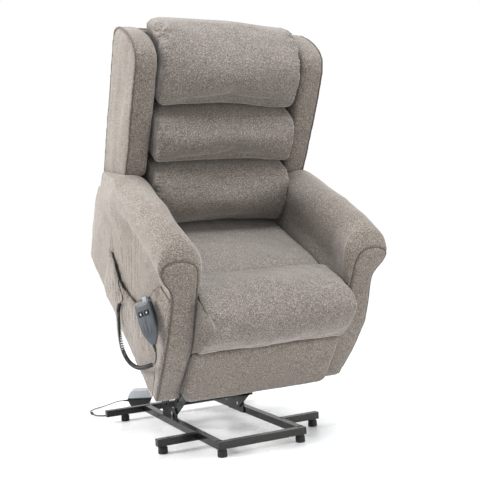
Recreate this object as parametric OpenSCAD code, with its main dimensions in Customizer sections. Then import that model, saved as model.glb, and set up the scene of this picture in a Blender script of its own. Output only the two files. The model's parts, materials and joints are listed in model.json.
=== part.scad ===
// Lift recliner armchair, shown at the top of its lift travel.
// X is across the seat, Y runs from the front to the back, Z is up, in millimetres.
// Origin: on the floor, at the middle of the chair's footprint.

/* [Base frame] */
// Width of the inner rail pair, outside to outside
base_w = 340; // [300:5:400]
// Depth of the base frame, front bar to rear bar
base_d = 771; // [700:1:820]
// Side of the square steel tube
tube = 25; // [20:1:30]
// Wall of the square steel tube
tube_wall = 2; // [1.5:0.5:3]
// Width over the front outriggers
outrigger_w = 646; // [560:2:700]
// Distance from the front bar to the outriggers
outrigger_y = 170; // [120:5:220]
// Width of the rear bar
rear_bar_w = 662; // [560:2:700]
// Height of the feet
foot_h = 27; // [20:1:35]
// Diameter of the feet at the floor
foot_d = 34; // [28:1:44]

/* [Lift pose] */
// Forward tilt of the chair at the top of the lift
rest_tilt = 35.6; // [20:0.1:38]
// Distance of the arms' front bottom edge behind the front bar
rest_y = 52; // [20:1:80]
// Height of the arms' front bottom edge above the floor
rest_z = 205; // [150:1:260]

/* [Chair] */
// Inside width between the arms
seat_w = 554; // [520:2:580]
// Width of the cushions
cushion_w = 538; // [480:2:540]
// Width over the wings
wing_w = 720; // [660:2:740]
// Height of the arms above their bottom edge
arm_h = 576; // [540:2:600]
// Depth of the arms along their bottom edge
arm_d = 858; // [820:2:880]

/* [Handset] */
// Length of the handset
handset_l = 137; // [130:1:180]
// Width of the handset
handset_w = 50; // [42:1:60]

/* [Hidden] */
$fn = 48;
eps = 0.01;

// Shift from the chair's centre plane and front bar to the origin
off_x = 17;
off_y = -274.2;

// Lift linkage: base pivots in base axes, chair pivots in chair axes
pivot_a1 = [485, 62];
pivot_a2 = [590, 150];
pivot_b1 = [90, 93];
pivot_b2 = [175, 91.6];
act_base = [735, 70];
act_top = [300, 170];
// Legrest parallelogram in chair axes
leg_h = [-5, 375];
leg_m = [73, 174];
leg_k = [209, 226];
leg_j = leg_k + leg_m - leg_h;
// Back recline pivot in chair axes
back_p = [800, 285];

function rot2(v, a) = [v[0] * cos(a) - v[1] * sin(a), v[0] * sin(a) + v[1] * cos(a)];
function to_base(v) = [rest_y, rest_z] + rot2(v, rest_tilt);
b1_up = to_base(pivot_b1);
b2_up = to_base(pivot_b2);
top_up = to_base(act_top);
function ang(p, q) = atan2(q[1] - p[1], q[0] - p[0]);

// ---------- helpers ----------
module place() translate([off_x, off_y, 0]) children();
module on_chair() place() translate([0, rest_y, rest_z]) rotate([rest_tilt, 0, 0]) children();
// Side outline (y, z) pulled from x0 to x1
module side(x0, x1) translate([x0, 0, 0]) rotate([90, 0, 90]) linear_extrude(x1 - x0) children();
// Front outline (x, z) pulled from y0 to y1
module front(y0, y1) translate([0, y1, 0]) rotate([90, 0, 0]) linear_extrude(y1 - y0) children();
module pair() { children(); mirror([1, 0, 0]) children(); }
module box(a, b) translate(a) cube(b - a);
module pin_x(x0, x1, p, d) translate([x0, p[0], p[1]]) rotate([0, 90, 0]) cylinder(d = d, h = x1 - x0);
module bar2(p, q, w) {
  translate(p) rotate(ang(p, q)) translate([0, 1.5 - w / 2]) square([norm(q - p), w - 3]);
  translate(p) circle(d = w);
  translate(q) circle(d = w);
}
module tube_x(x0, x1, y, z) difference() {
  box([x0, y, z], [x1, y + tube, z + tube]);
  box([x0 - 1, y + tube_wall, z + tube_wall], [x1 + 1, y + tube - tube_wall, z + tube - tube_wall]);
}
module tube_y(x, y0, y1, z) difference() {
  box([x, y0, z], [x + tube, y1, z + tube]);
  box([x + tube_wall, y0 - 1, z + tube_wall], [x + tube - tube_wall, y1 + 1, z + tube - tube_wall]);
}

// Swept round tube along a list of points
function unit(v) = v / norm(v);
function tangent(p, i) = unit(p[min(i + 1, len(p) - 1)] - p[max(i - 1, 0)]);
function ring(c, t, r, n) = let (u = unit(cross(t, abs(t[2]) > 0.9 ? [1, 0, 0] : [0, 0, 1])), v = cross(t, u))
  [for (k = [0:n - 1]) c + r * (cos(360 * k / n) * u + sin(360 * k / n) * v)];
module sweep(p, d, n) {
  m = len(p);
  pts = [for (i = [0:m - 1]) each ring(p[i], tangent(p, i), d / 2, n)];
  faces = concat([[for (k = [0:n - 1]) k]],
    [for (i = [0:m - 2], k = [0:n - 1]) [i * n + k, (i + 1) * n + k, (i + 1) * n + (k + 1) % n]],
    [for (i = [0:m - 2], k = [0:n - 1]) [i * n + k, (i + 1) * n + (k + 1) % n, i * n + (k + 1) % n]],
    [[for (k = [n - 1:-1:0]) (m - 1) * n + k]]);
  polyhedron(points = pts, faces = faces, convexity = 8);
}
// Points of a smooth curve through the route's own points, first and last kept
function bez(a, b, c, d, t) = 0.5 * ((2 * b) + (c - a) * t + (2 * a - 5 * b + 4 * c - d) * t * t + (3 * b - a - 3 * c + d) * t * t * t);
function smooth(p, s) = concat(
  [for (i = [0:len(p) - 2], k = [0:s - 1]) bez(p[max(i - 1, 0)], p[i], p[i + 1], p[min(i + 2, len(p) - 1)], k / s)],
  [p[len(p) - 1]]);

// ---------- base frame ----------
rail_in = base_w / 2 - tube;
steel = [0.12, 0.12, 0.13];
module base_side_rails() color(steel) place() pair() tube_y(rail_in, tube, base_d - tube, foot_h);
module base_cross_bars() color(steel) place() {
  tube_x(-base_w / 2 + 2, base_w / 2 - 2, 0, foot_h);
  tube_x(-rear_bar_w / 2 + 2, rear_bar_w / 2 - 2, base_d - tube, foot_h);
}
module base_outriggers() color(steel) place() pair() tube_x(base_w / 2, outrigger_w / 2 - 2, outrigger_y, foot_h);
module end_cap(x, y) {
  box([x - 2, y, foot_h], [x, y + tube, foot_h + tube]);
  box([x - 14, y + 2.4, foot_h + 2.4], [x - 2, y + tube - 2.4, foot_h + tube - 2.4]);
}
module tube_end_caps() color([0.06, 0.06, 0.06]) place() pair() {
  end_cap(base_w / 2, 0);
  end_cap(outrigger_w / 2, outrigger_y);
  end_cap(rear_bar_w / 2, base_d - tube);
}
module base_foot(x, y) translate([x, y, 0]) rotate_extrude()
  polygon([[0, 0], [foot_d / 2 - 1.5, 0], [foot_d / 2, 1.5], [foot_d / 2 - 0.5, foot_h - 6], [foot_d / 2 - 3, foot_h - 4], [foot_d / 2 - 3, foot_h], [0, foot_h]]);
module base_feet() color([0.05, 0.05, 0.05]) place() pair() {
  base_foot(151, 14.5);
  base_foot(301, outrigger_y + 12.5);
  base_foot(251, base_d - 12.5);
}

// ---------- lift mechanism ----------
module lift_brackets() color(steel) place() { lift_side_brackets(); actuator_base_lugs(); }
module lift_side_brackets() pair() difference() {
  side(rail_in - 5, rail_in) difference() {
    union() {
      polygon([[446, foot_h], [588, foot_h], [612, 118], [614, 150], [566, 150], [528, 100], [500, 84], [463, 84], [446, 66]]);
      translate(pivot_a1) circle(d = 44);
      translate(pivot_a2) circle(d = 48);
    }
    translate([545, 92]) circle(d = 20);
  }
  pin_x(0, 400, pivot_a1, 12);
  pin_x(0, 400, pivot_a2, 12);
}
module base_pivot_pins() color([0.7, 0.7, 0.72]) place() pair() {
  pin_x(rail_in - 12, rail_in, pivot_a1, 12);
  pin_x(rail_in, rail_in + 4, pivot_a1, 18);
  pin_x(rail_in - 19.4, rail_in, pivot_a2, 12);
  pin_x(rail_in, rail_in + 4, pivot_a2, 20);
  pin_x(-22, 11, act_base, 10);
}
link_x0 = rail_in - 10.6;
module front_lift_links() color(steel) place() pair() difference() {
  side(link_x0, link_x0 + 5) union() {
    bar2(pivot_a1, b1_up, 36);
    polygon([pivot_a1 + [16, 8], pivot_a1 + [-2, -18], pivot_a1 + [-70, 34], pivot_a1 + [-118, 52], pivot_a1 + [-96, 82]]);
  }
  pin_x(0, 400, pivot_a1, 12.1);
  pin_x(0, 400, b1_up, 12.1);
}
torque_c = pivot_a1 + 110 * [cos(ang(pivot_a1, b1_up)), sin(ang(pivot_a1, b1_up))];
module lift_torque_tube() color(steel) place() difference() {
  pin_x(-link_x0, link_x0, torque_c, 30);
  pin_x(-link_x0 - 1, link_x0 + 1, torque_c, 25);
}
module rear_lift_links() color(steel) place() pair() difference() {
  side(rail_in - 18, rail_in - 13) bar2(pivot_a2, b2_up, 36);
  pin_x(0, 400, pivot_a2, 12.1);
}

// ---------- actuator: drawn along +Y from its base pivot, then laid to its angle ----------
act_len = norm(top_up - act_base);
act_ang = ang(act_base, top_up);
module along_actuator() place() translate([0, act_base[0], act_base[1]]) rotate([act_ang, 0, 0]) children();
module actuator_base_lugs() difference() {
  union() for (s = [-1, 1]) side(s * 16 - 2, s * 16 + 2) polygon([[746, 52], [771, 52], [771, 58], [750, 86], [722, 86], [718, 60], [730, 36], [746, 30]]);
  pin_x(-30, 30, act_base, 10);
}
// Motor and gearbox casing round the foot of the actuator, with its base eye and pin
module actuator_motor_housing() color([0.16, 0.16, 0.17]) {
  along_actuator() difference() {
    union() {
      side(-10, 10) union() { circle(d = 26); translate([0, -13]) square([34, 26]); }
      box([-24, 34, -26], [24, 112, 26]);
      box([-18, 44, 26], [18, 108, 30]);
      translate([0, 78, -118]) cylinder(d = 44, h = 92);
      translate([0, 78, -124]) cylinder(d = 30, h = 6);
    }
    pin_x(-30, 30, [0, 0], 10.1);
    translate([0, 80, 0]) rotate([-90, 0, 0]) cylinder(d = 34, h = 60);
  }
}
module actuator_tube() color([0.2, 0.2, 0.21]) along_actuator() difference() {
  translate([0, 81, 0]) rotate([-90, 0, 0]) cylinder(d = 34, h = 415);
  translate([0, 85, 0]) rotate([-90, 0, 0]) cylinder(d = 20.1, h = 500);
}
module actuator_rod() color([0.75, 0.75, 0.77]) along_actuator() difference() {
  union() {
    translate([0, 300, 0]) rotate([-90, 0, 0]) cylinder(d = 20, h = act_len - 320);
    translate([-9, act_len - 26, -12]) cube([18, 26, 24]);
    side(-9, 9) translate([act_len, 0]) circle(d = 26);
  }
  pin_x(-30, 30, [act_len, 0], 10.4);
}

// ---------- power supply and its lead, behind the base ----------
ps_turn = -25.7;
module at_supply() place() translate([-97, 1017, 0]) rotate([0, 0, ps_turn]) children();
module power_supply_lower_shell() color([0.1, 0.1, 0.11]) at_supply() difference() {
  front(-33, 33) polygon([[-38, 0], [38, 0], [51, 24], [53, 33], [-53, 33], [-51, 24]]);
  for (s = [-1, 1]) translate([0, s * 33, 0]) rotate([45, 0, 0]) cube([200, 8, 8], center = true);
}
module power_supply_upper_shell() color([0.45, 0.46, 0.48]) at_supply()
  front(-33, 33) polygon([[-53, 33.2], [53, 33.2], [51, 44], [44, 62], [34, 73], [27, 76], [-27, 76], [-34, 73], [-44, 62], [-51, 44]]);
module power_supply_inlet() color([0.05, 0.05, 0.05]) at_supply() difference() {
  box([-15, 33, 8], [15, 39, 28]);
  box([-11, 35, 11], [11, 40, 25]);
}
module supply_strain_relief() color([0.05, 0.05, 0.05]) at_supply() translate([-52, 0, 22]) rotate([0, -90, 0])
  rotate_extrude() polygon([[0, 0], [4.8, 0], [4.8, 4], [3.6, 23.2], [0, 23.2]]);
lead_d = 6;
route_a = [[-164.8, 1049.6, 22], [-183, 1058, 21], [-205, 1066, 16], [-232, 1072, 9], [-262, 1070, 4.2], [-292, 1058, 3.6], [-314, 1040, 3.4], [-327, 1020, 3.4], [-333, 1000, 3.6], [-334, 986, 4.6], [-334, 978, 5.5]];
module supply_lead_a() color([0.3, 0.34, 0.3]) place() sweep(smooth(route_a, 3), lead_d, 8);
module supply_lead_plug() color([0.05, 0.05, 0.05]) place() translate([-334, 978, 5.5]) rotate([90, 0, 0])
  rotate_extrude() polygon([[0, 0], [4.2, 0], [5.5, 4], [5.5, 22], [4.2, 26], [0, 26]]);
route_b = [[-334, 952, 5.5], [-334, 944, 4.6], [-332, 930, 3.6], [-320, 908, 3.4], [-296, 892, 3.1], [-262, 884, 3.1], [-222, 882, 3.1], [-180, 878, 3.1], [-140, 868, 3.1], [-106, 850, 3.1], [-82, 824, 3.1], [-68, 794, 3.2], [-62, 762, 3.9], [-60, 732, 8], [-59, 710, 20], [-57, 695, 44], [-53, 686, 72], [-47, 681, 96], [-38, 679.4, 112], [-31, 679.2, 116.6], [-24.2, 679.1, 116.9]];
module supply_lead_b() color([0.1, 0.1, 0.1]) place() sweep(smooth(route_b, 3), lead_d, 8);

// ---------- lift frame on the chair ----------
module lift_plates() color(steel) on_chair() { lift_side_plates(); lift_inner_plates(); }
module lift_side_plates() pair() difference() {
  side(152, 157) polygon([[64, 80], [84, 68], [104, 68], [170, 96], [545, 100], [560, 112], [560, 143], [190, 143], [150, 245], [100, 245], [72, 130]]);
  pin_x(0, 400, pivot_b1, 12);
}
module lift_inner_plates() pair() difference() {
  side(118, 123) polygon([[142, 118], [150, 78], [166, 68], [190, 70], [204, 88], [258, 118]]);
  pin_x(0, 400, pivot_b2, 12);
}
module lift_cross_tubes() color(steel) on_chair() {
  for (y = [140, 235]) tube_x(-152, 152, y, 118);
  tube_x(-240, 240, 112, 245);
  tube_x(-240, 240, 515, 143);
}
module lift_upper_pins() color([0.7, 0.7, 0.72]) on_chair() pair() {
  pin_x(133.4, 157, pivot_b1, 12);
  pin_x(157, 161, pivot_b1, 20);
  pin_x(114, 118, pivot_b2, 20);
  pin_x(118, 126.5, pivot_b2, 12);
}
module actuator_top_cheeks() color(steel) on_chair() for (s = [-1, 1]) {
  side(s * 14 - 2, s * 14 + 2) polygon([[236, 143], [259, 143], [312, 156], [317, 172], [306, 186], [288, 184]]);
  pin_x(s > 0 ? 9.6 : -12, s > 0 ? 12 : -9.6, act_top, 10);
}

// ---------- seat ----------
wood = [0.76, 0.6, 0.4];
cloth = [0.47, 0.43, 0.39];
cloth_light = [0.52, 0.48, 0.44];
module seat_box_frame() color(wood) on_chair() {
  pair() side(240, 262) polygon([[30, 168], [30, 296], [640, 262], [640, 168]]);
  box([-239.8, 30, 272], [239.8, 52, 294.5]);
  box([-239.8, 600, 190], [239.8, 622, 262]);
}
// Elastic straps that carry the cushions, front rail to rear rail
module seat_webbing() color([0.1, 0.1, 0.1]) on_chair() for (x = [-205, -125, -45, 35, 115, 195])
  side(x - 30, x + 40) polygon([[34, 294.8], [50, 294.8], [602, 262.3], [618, 262.3], [618, 264.3], [602, 264.3], [50, 296.8], [34, 296.8]]);
cw = cushion_w / 2 - 8;
module seat_cushion() color(cloth_light) on_chair() side(-cw, cw)
  polygon([[214, 291], [600, 268], [652, 268], [652, 292], [640, 300], [548, 317], [380, 345], [260, 364], [214, 366]]);
module chaise_pad() color(cloth_light) on_chair() side(-cw, cw)
  polygon([[2, 300], [60, 300], [211, 291.5], [211, 368], [165, 392], [82, 413], [2, 417]]);
module knee_pad() color(cloth_light) on_chair() side(-cw, cw)
  polygon([[-66, 371], [-1, 371], [-1, 416], [-25, 415], [-48, 407], [-62, 393]]);

// ---------- legrest ----------
module legrest_board() color(wood) on_chair() {
  box([-272, -2, 8], [272, 16, 196]);
  box([-267, -2, 196], [267, 16, 288]);
  pair() {
    side(216, 221) polygon([[16, 110], [16, 236], [78, 192], [92, 180], [92, 164], [80, 154]]);
    pin_x(221, 229.5, leg_m, 10);
  }
}
module legrest_panel() color(cloth_light) on_chair() side(-272, 272)
  polygon([[-2.3, 3], [-2.3, 218], [-20, 216], [-27, 190], [-27, 40], [-22, 14], [-12, 4]]);
module legrest_pad() color(cloth_light) on_chair() side(-cw, cw)
  polygon([[-3, 221], [-33, 221], [-44, 234], [-60, 298], [-67, 345], [-66, 367], [-12, 367], [-8, 300]]);
// Side plates of the legrest pivot: one on the seat box, one on the board
module legrest_hinges() color([0.3, 0.3, 0.32]) on_chair() pair() difference() {
  union() {
    side(267, 270.5) union() {
      translate(leg_h) circle(d = 26);
      polygon([[-18, 375], [-18, 262], [-2.2, 226], [-2.2, 200], [16, 200], [16, 300], [8, 375]]);
    }
  }
  pin_x(0, 400, leg_h, 10.1);
}
module seat_pivot_plates() pair() difference() {
  side(262, 266.4) union() {
    translate(leg_h) circle(d = 26);
    polygon([[-10, 363], [4, 384], [90, 290], [90, 190], [30, 190], [30, 300]]);
  }
  pin_x(0, 400, leg_h, 10);
}
module seat_hinge_plates() color([0.3, 0.3, 0.32]) on_chair() { seat_pivot_plates(); seat_hinge_pins(); seat_back_brackets(); }
module seat_hinge_pins() pair() {
  pin_x(262, 271.4, leg_h, 10);
  pin_x(271.4, 274, leg_h, 16);
  pin_x(226, 240, leg_k, 10);
}
module legrest_crank() color(steel) on_chair() pair() {
  difference() {
    side(230, 235) bar2(leg_k, leg_j, 26);
    pin_x(0, 400, leg_k, 10.1);
  }
  pin_x(222, 230, leg_j, 10);
}
module legrest_coupler() color(steel) on_chair() pair() difference() {
  side(223, 228) bar2(leg_j, leg_m, 26);
  pin_x(0, 400, leg_j, 10.1);
  pin_x(0, 400, leg_m, 10.4);
}

// ---------- arms ----------
// Outline of an arm seen from the front, (x, z)
arm_front = [[277, 0], [277, 300], [284, 400], [287, 480], [291, 520], [301, 546], [320, 566], [345, 576],
  [372, 571], [394, 557], [408, 536], [413, 512], [408, 488], [394, 466], [378, 446], [369, 424], [368, 400],
  [370, 340], [373, 262], [368, 130], [362, 0]];
// Outline of an arm seen from the side, (y, z)
arm_side = [[12, 0], [-2, 254], [60, 520], [74, 556], [96, 578], [200, 577], [326, 560], [465, 530], [600, 508],
  [831, 386], [876, 309], [904, 210], [892, 110], [arm_d, 0]];
module arm_body() intersection() {
  front(-60, 960) polygon(arm_front);
  side(270, 420) polygon(arm_side);
  linear_extrude(620) polygon([[270, -60], [420, -60], [420, 480], [345, 930], [270, 930]]);
}
module arm_shell() difference() {
  arm_body();
  box([294, 36, 14], [350, 800, 330]);
}
module left_arm() color(cloth) on_chair() mirror([1, 0, 0]) arm_shell();
module right_arm() color(cloth) on_chair() arm_shell();
// Upholstered front panel inside the piping
panel_out = [[279, 3], [278, 120], [274, 240], [276, 300], [282, 350], [287, 400], [290, 450], [294, 498], [304, 516],
  [322, 527], [345, 531], [370, 529], [390, 522], [402, 511], [405, 498], [398, 482], [380, 464], [366, 450],
  [360, 435], [360, 415], [363, 390], [365, 340], [370, 290], [371, 262], [366, 200], [362, 130], [356, 3]];
module arm_panel() intersection() {
  front(-60, 120) polygon(panel_out);
  side(270, 420) polygon([[11.5, 0], [-2.5, 254], [59.5, 520], [70, 545], [56, 548], [46, 520], [-15, 254], [-1, 0]]);
}
module left_arm_panel() color(cloth) on_chair() mirror([1, 0, 0]) arm_panel();
module right_arm_panel() color(cloth) on_chair() arm_panel();
// Plywood side and posts inside each arm
module arm_frames() color(wood) on_chair() pair() {
  box([314, 38, 16], [332, 798, 326]);
  box([332, 40, 16], [348, 84, 326]);
  box([332, 752, 16], [348, 796, 326]);
  box([296, 200, 170], [314, 240, 230]);
  box([296, 480, 170], [314, 520, 230]);
}
module arm_brackets() color(steel) on_chair() pair() {
  for (y = [200, 480]) difference() {
    box([262, y, 176], [277, y + 40, 226]);
    box([265, y - 1, 180], [278, y + 41, 222]);
  }
}

// ---------- side pocket on the left arm ----------
pocket_rim = [[600, 168], [560, 214], [493, 206], [433, 186], [323, 199], [252, 224], [196, 282], [165, 310], [150, 322], [40, 330]];
// Outside of the pocket, and with a wall t its inside, both running into the arm
module pocket_form(t, top) intersection() {
  side(350, 400) polygon(top);
  front(20, 640) polygon([[350, 8 + t], [378 - t, 8 + t], [388 - t, 60], [393 - t, 140], [393 - t, 480], [350, 480]]);
  linear_extrude(480) polygon([[350, 36 + t], [372 - t / 2, 36 + t], [386 - t, 80], [393 - t, 120], [393 - t, 470], [384 - t, 560], [370, 612 - t], [350, 612 - t]]);
}
module side_pocket() color(cloth) on_chair() mirror([1, 0, 0]) difference() {
  pocket_form(0, concat([[36, 8], [600, 8], [612, 60]], pocket_rim));
  pocket_form(4, [[30, 0], [630, 0], [630, 480], [30, 480]]);
  arm_body();
}

// ---------- handset, hung on the front of the pocket ----------
// Drawn hanging from the middle of its top edge, its face towards -Y
module hold_handset() place() translate([-411.5, -45, 546.6]) rotate([0, -6, 0]) rotate([-17.4, 0, 0]) rotate([0, 0, -48]) children();
hs = handset_w / 2;
hs_out = [[-hs + 4, 0], [hs - 4, 0], [hs - 1, -4], [hs, -30], [hs - 1, -60], [hs - 5, -90], [hs - 12, -118],
  [hs - 18, -handset_l], [-hs + 18, -handset_l], [-hs + 12, -118], [-hs + 5, -90], [-hs + 1, -60], [-hs, -30], [-hs + 1, -4]];
module handset_front_shell() color([0.25, 0.28, 0.31]) hold_handset() difference() {
  intersection() {
    front(-25, -12.1) polygon(hs_out);
    side(-30, 30) polygon([[-12, 1], [-22, 1], [-25, -6], [-25, -70], [-20, -138], [-12, -138]]);
  }
  for (s = [-1, 1]) box([s * 11 - 6.7, -26, -40.2], [s * 11 + 6.7, -17, -29.8]);
}
module handset_back_shell() color([0.2, 0.22, 0.25]) hold_handset() intersection() {
  front(-12, 0) polygon(hs_out);
  side(-30, 30) polygon([[-12, 1], [-4, 1], [0, -8], [0, -80], [-5, -138], [-12, -138]]);
}
// Hook of the handset, over the rim of the pocket
module handset_clip() color([0.6, 0.62, 0.65]) hold_handset() {
  box([-7, 0.1, -34], [7, 3, 20]);
  box([-7, 3, 17], [7, 43, 20]);
  box([-7, 40, -8], [7, 43, 17]);
}
module handset_button(s) hold_handset() box([s * 11 - 6.5, -26.2, -40], [s * 11 + 6.5, -18.8, -30]);
module handset_button_up() color([0.04, 0.04, 0.04]) handset_button(-1);
module handset_button_down() color([0.04, 0.04, 0.04]) handset_button(1);
module handset_strain_relief() color([0.06, 0.06, 0.07]) hold_handset() translate([0, -12.5, -handset_l - 0.1])
  rotate([180, 0, 0]) rotate_extrude() polygon([[0, 0], [4.5, 0], [4.5, 5], [3, 22], [0, 22]]);
// Curly cord: a plain lead out of the pocket, the coil, and a tail up to the handset
cord_d = 4;
coil_d = 12;
route_lead = [[-370, 262, 560], [-374, 262, 560], [-379, 263, 565], [-383, 265, 580], [-387, 267, 596], [-393, 267, 605], [-400, 259, 604], [-404, 243, 592], [-405.5, 222, 572], [-405, 209, 555], [-404, 209, 544], [-403, 220, 537], [-403, 234, 533], [-403, 245, 527]];
route_coil = [[-403, 245, 527], [-403, 258, 518], [-403, 272, 500], [-403, 276, 480], [-403, 276, 455], [-403, 274, 430], [-403, 269, 404], [-403, 258, 380], [-403, 238, 358], [-403, 208, 340], [-403, 174, 329], [-403, 138, 324], [-403, 100, 323], [-403, 62, 326], [-403, 20, 334], [-403, -22, 343], [-403, -56, 352]];
route_tail = [[-403, -56, 352], [-403, -66, 354.6], [-403.2, -78, 359], [-403.8, -89, 367], [-404.4, -97, 378], [-404.8, -100.2, 388], [-404.9, -100.8, 396]];
module handset_cord_lead() color([0.06, 0.06, 0.07]) place() sweep(smooth(route_lead, 2), cord_d, 8);
module handset_coil() color([0.06, 0.06, 0.07]) place() sweep(smooth(route_coil, 2), coil_d, 12);
module handset_cord_tail() color([0.06, 0.06, 0.07]) place() sweep(smooth(route_tail, 2), cord_d, 8);

// ---------- back ----------
// Rear face of the wings: y at a height z
function rear(z) = 816 + 0.179 * (z - 397);
module back_frame() color(wood) on_chair() {
  pair() side(214.2, 258) polygon([[rear(300) - 96, 300], [rear(300) - 2, 300], [rear(893) - 2, 893], [rear(905) - 22, 918], [rear(905) - 26, 925], [rear(925) - 60, 925], [rear(560) - 96, 560]]);
  for (z = [[300, 345], [570, 600], [880, 925]]) side(z[0] < 400 ? -207.5 : -214, z[0] < 400 ? 207.5 : 214)
    polygon([[rear(z[0]) - 56, z[0]], [rear(z[0]) - 30, z[0]], [rear(z[1]) - 30, z[1]], [rear(z[1]) - 56, z[1]]]);
}
module back_brackets() color([0.3, 0.3, 0.32]) on_chair() pair() difference() {
  side(208, 213.8) union() {
    translate(back_p) circle(d = 32);
    polygon([[786, 278], [814, 272], [rear(380) - 8, 380], [rear(430) - 8, 430], [rear(430) - 50, 430], [rear(340) - 50, 340]]);
  }
  pin_x(0, 400, back_p, 12.1);
}
module seat_back_brackets() pair() {
  difference() {
    side(202, 207) union() {
      translate(back_p) circle(d = 32);
      polygon([[622, 190], [622, 250], [790, 298], [800, 269]]);
    }
    pin_x(0, 400, back_p, 12);
  }
  pin_x(198, 214.5, back_p, 12);
}
module back_webbing() color([0.1, 0.1, 0.1]) on_chair() for (z = [380, 450, 520, 650, 720, 790])
  side(-256, 256) let (f = z < 560 ? 96 : 96 - 36 * (z - 560) / 365)
    polygon([[rear(z) - f - 2.4, z], [rear(z) - f - 0.4, z], [rear(z + 46) - (z < 560 ? 96 : 96 - 36 * (z + 46 - 560) / 365) - 0.4, z + 46], [rear(z + 46) - (z < 560 ? 96 : 96 - 36 * (z + 46 - 560) / 365) - 2.4, z + 46]]);
module back_rear_cover() color(cloth) on_chair() {
  side(-270, 270) polygon([[822, 250], [830, 250], [831, 322], [rear(400) + 8, 400], [rear(400), 400], [823, 322]]);
  side(-wing_w / 2, wing_w / 2) polygon([[rear(400), 400], [rear(400) + 8, 400], [rear(905) + 8, 905], [rear(905) - 10, 930], [rear(905) - 40, 944], [rear(905) - 40, 936], [rear(905) - 16, 924], [rear(905), 902]]);
}
wing_side = [[601, 515], [607, 600], [619, 690], [633, 780], [647, 860], [655, 905], [673, 938], [712, 957], [760, 962],
  [810, 958], [rear(905) - 42, 950], [rear(905) - 42, 934.5], [rear(905) - 18, 922], [rear(905) - 1.2, 900], [rear(896) - 0.4, 896], [rear(398) - 0.4, 398]];
module back_wings() color(cloth) on_chair() pair() side(276, wing_w / 2) polygon(wing_side);
module lumbar_cushion() color(cloth_light) on_chair()
  side(-cw, cw) polygon([[rear(330) - 100, 322], [552, 328], [522, 360], [508, 410], [512, 465], [532, 512], [562, 538], [602, 546], [rear(546) - 100, 546]]);
module middle_cushion() color(cloth_light) on_chair()
  side(-cw, cw) polygon([[rear(553) - 100, 553], [602, 557], [574, 576], [562, 620], [566, 668], [586, 708], [622, 734], [664, 742], [rear(742) - 82, 742]]);
module head_cushion() color(cloth_light) on_chair()
  side(-cw, cw) polygon([[rear(750) - 80, 750], [684, 755], [644, 776], [624, 820], [626, 880], [646, 930], [682, 978], [730, 1006], [790, 1018], [846, 1008], [872, 980], [872, 952], [864, 946.5], [862, 934], [rear(925) - 63, 930]]);

base_side_rails();
base_cross_bars();
base_outriggers();
tube_end_caps();
base_feet();
lift_brackets();
base_pivot_pins();
power_supply_lower_shell();
power_supply_upper_shell();
power_supply_inlet();
supply_strain_relief();
supply_lead_a();
supply_lead_plug();
supply_lead_b();
front_lift_links();
lift_torque_tube();
rear_lift_links();
actuator_motor_housing();
actuator_tube();
actuator_rod();
lift_plates();
lift_cross_tubes();
lift_upper_pins();
actuator_top_cheeks();
seat_box_frame();
seat_hinge_plates();
seat_webbing();
seat_cushion();
chaise_pad();
knee_pad();
left_arm();
right_arm();
left_arm_panel();
right_arm_panel();
arm_frames();
arm_brackets();
side_pocket();
handset_front_shell();
handset_back_shell();
handset_clip();
handset_button_up();
handset_button_down();
handset_strain_relief();
handset_cord_lead();
handset_coil();
handset_cord_tail();
legrest_board();
legrest_panel();
legrest_pad();
legrest_hinges();
legrest_crank();
legrest_coupler();
back_frame();
back_brackets();
back_webbing();
back_rear_cover();
back_wings();
lumbar_cushion();
middle_cushion();
head_cushion();
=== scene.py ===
import json
import math
import bmesh
import bpy
import numpy as np
from mathutils import Matrix, Vector
from mathutils.bvhtree import BVHTree


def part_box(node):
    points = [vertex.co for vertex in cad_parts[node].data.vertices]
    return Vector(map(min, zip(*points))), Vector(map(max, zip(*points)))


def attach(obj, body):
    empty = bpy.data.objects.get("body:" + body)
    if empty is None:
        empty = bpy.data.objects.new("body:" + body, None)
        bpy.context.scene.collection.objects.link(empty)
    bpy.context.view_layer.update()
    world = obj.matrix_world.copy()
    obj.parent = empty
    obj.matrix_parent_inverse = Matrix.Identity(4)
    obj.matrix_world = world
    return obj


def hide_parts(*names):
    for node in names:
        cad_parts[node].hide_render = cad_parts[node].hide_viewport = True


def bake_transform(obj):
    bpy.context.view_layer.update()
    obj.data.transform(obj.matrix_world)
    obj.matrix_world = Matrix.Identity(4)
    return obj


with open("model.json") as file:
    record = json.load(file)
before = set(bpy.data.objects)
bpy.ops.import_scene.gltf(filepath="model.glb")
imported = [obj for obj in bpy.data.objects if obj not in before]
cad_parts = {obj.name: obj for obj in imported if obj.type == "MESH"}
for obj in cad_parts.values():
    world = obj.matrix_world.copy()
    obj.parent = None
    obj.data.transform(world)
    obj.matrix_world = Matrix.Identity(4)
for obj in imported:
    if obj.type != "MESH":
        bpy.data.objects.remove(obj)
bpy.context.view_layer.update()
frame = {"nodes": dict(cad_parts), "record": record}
scene = bpy.context.scene

# ---------------------------------------------------------------- axes
# "base" points are in mm from the chair's middle plane and the front bar; "chair" points are in mm
# in the chair's own axes, which are tipped by 35.6 degrees at rest.
OX, OY = 17.0, -274.2
TILT = math.radians(35.6)
CA, SA = math.cos(TILT), math.sin(TILT)


def from_base(p):
    p = np.asarray(p, float)
    return np.stack([p[..., 0] + OX, p[..., 1] + OY, p[..., 2]], -1) / 1000.0


def from_chair(p):
    p = np.asarray(p, float)
    y = 52 + p[..., 1] * CA - p[..., 2] * SA
    z = 205 + p[..., 1] * SA + p[..., 2] * CA
    return from_base(np.stack([p[..., 0], y, z], -1))


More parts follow.
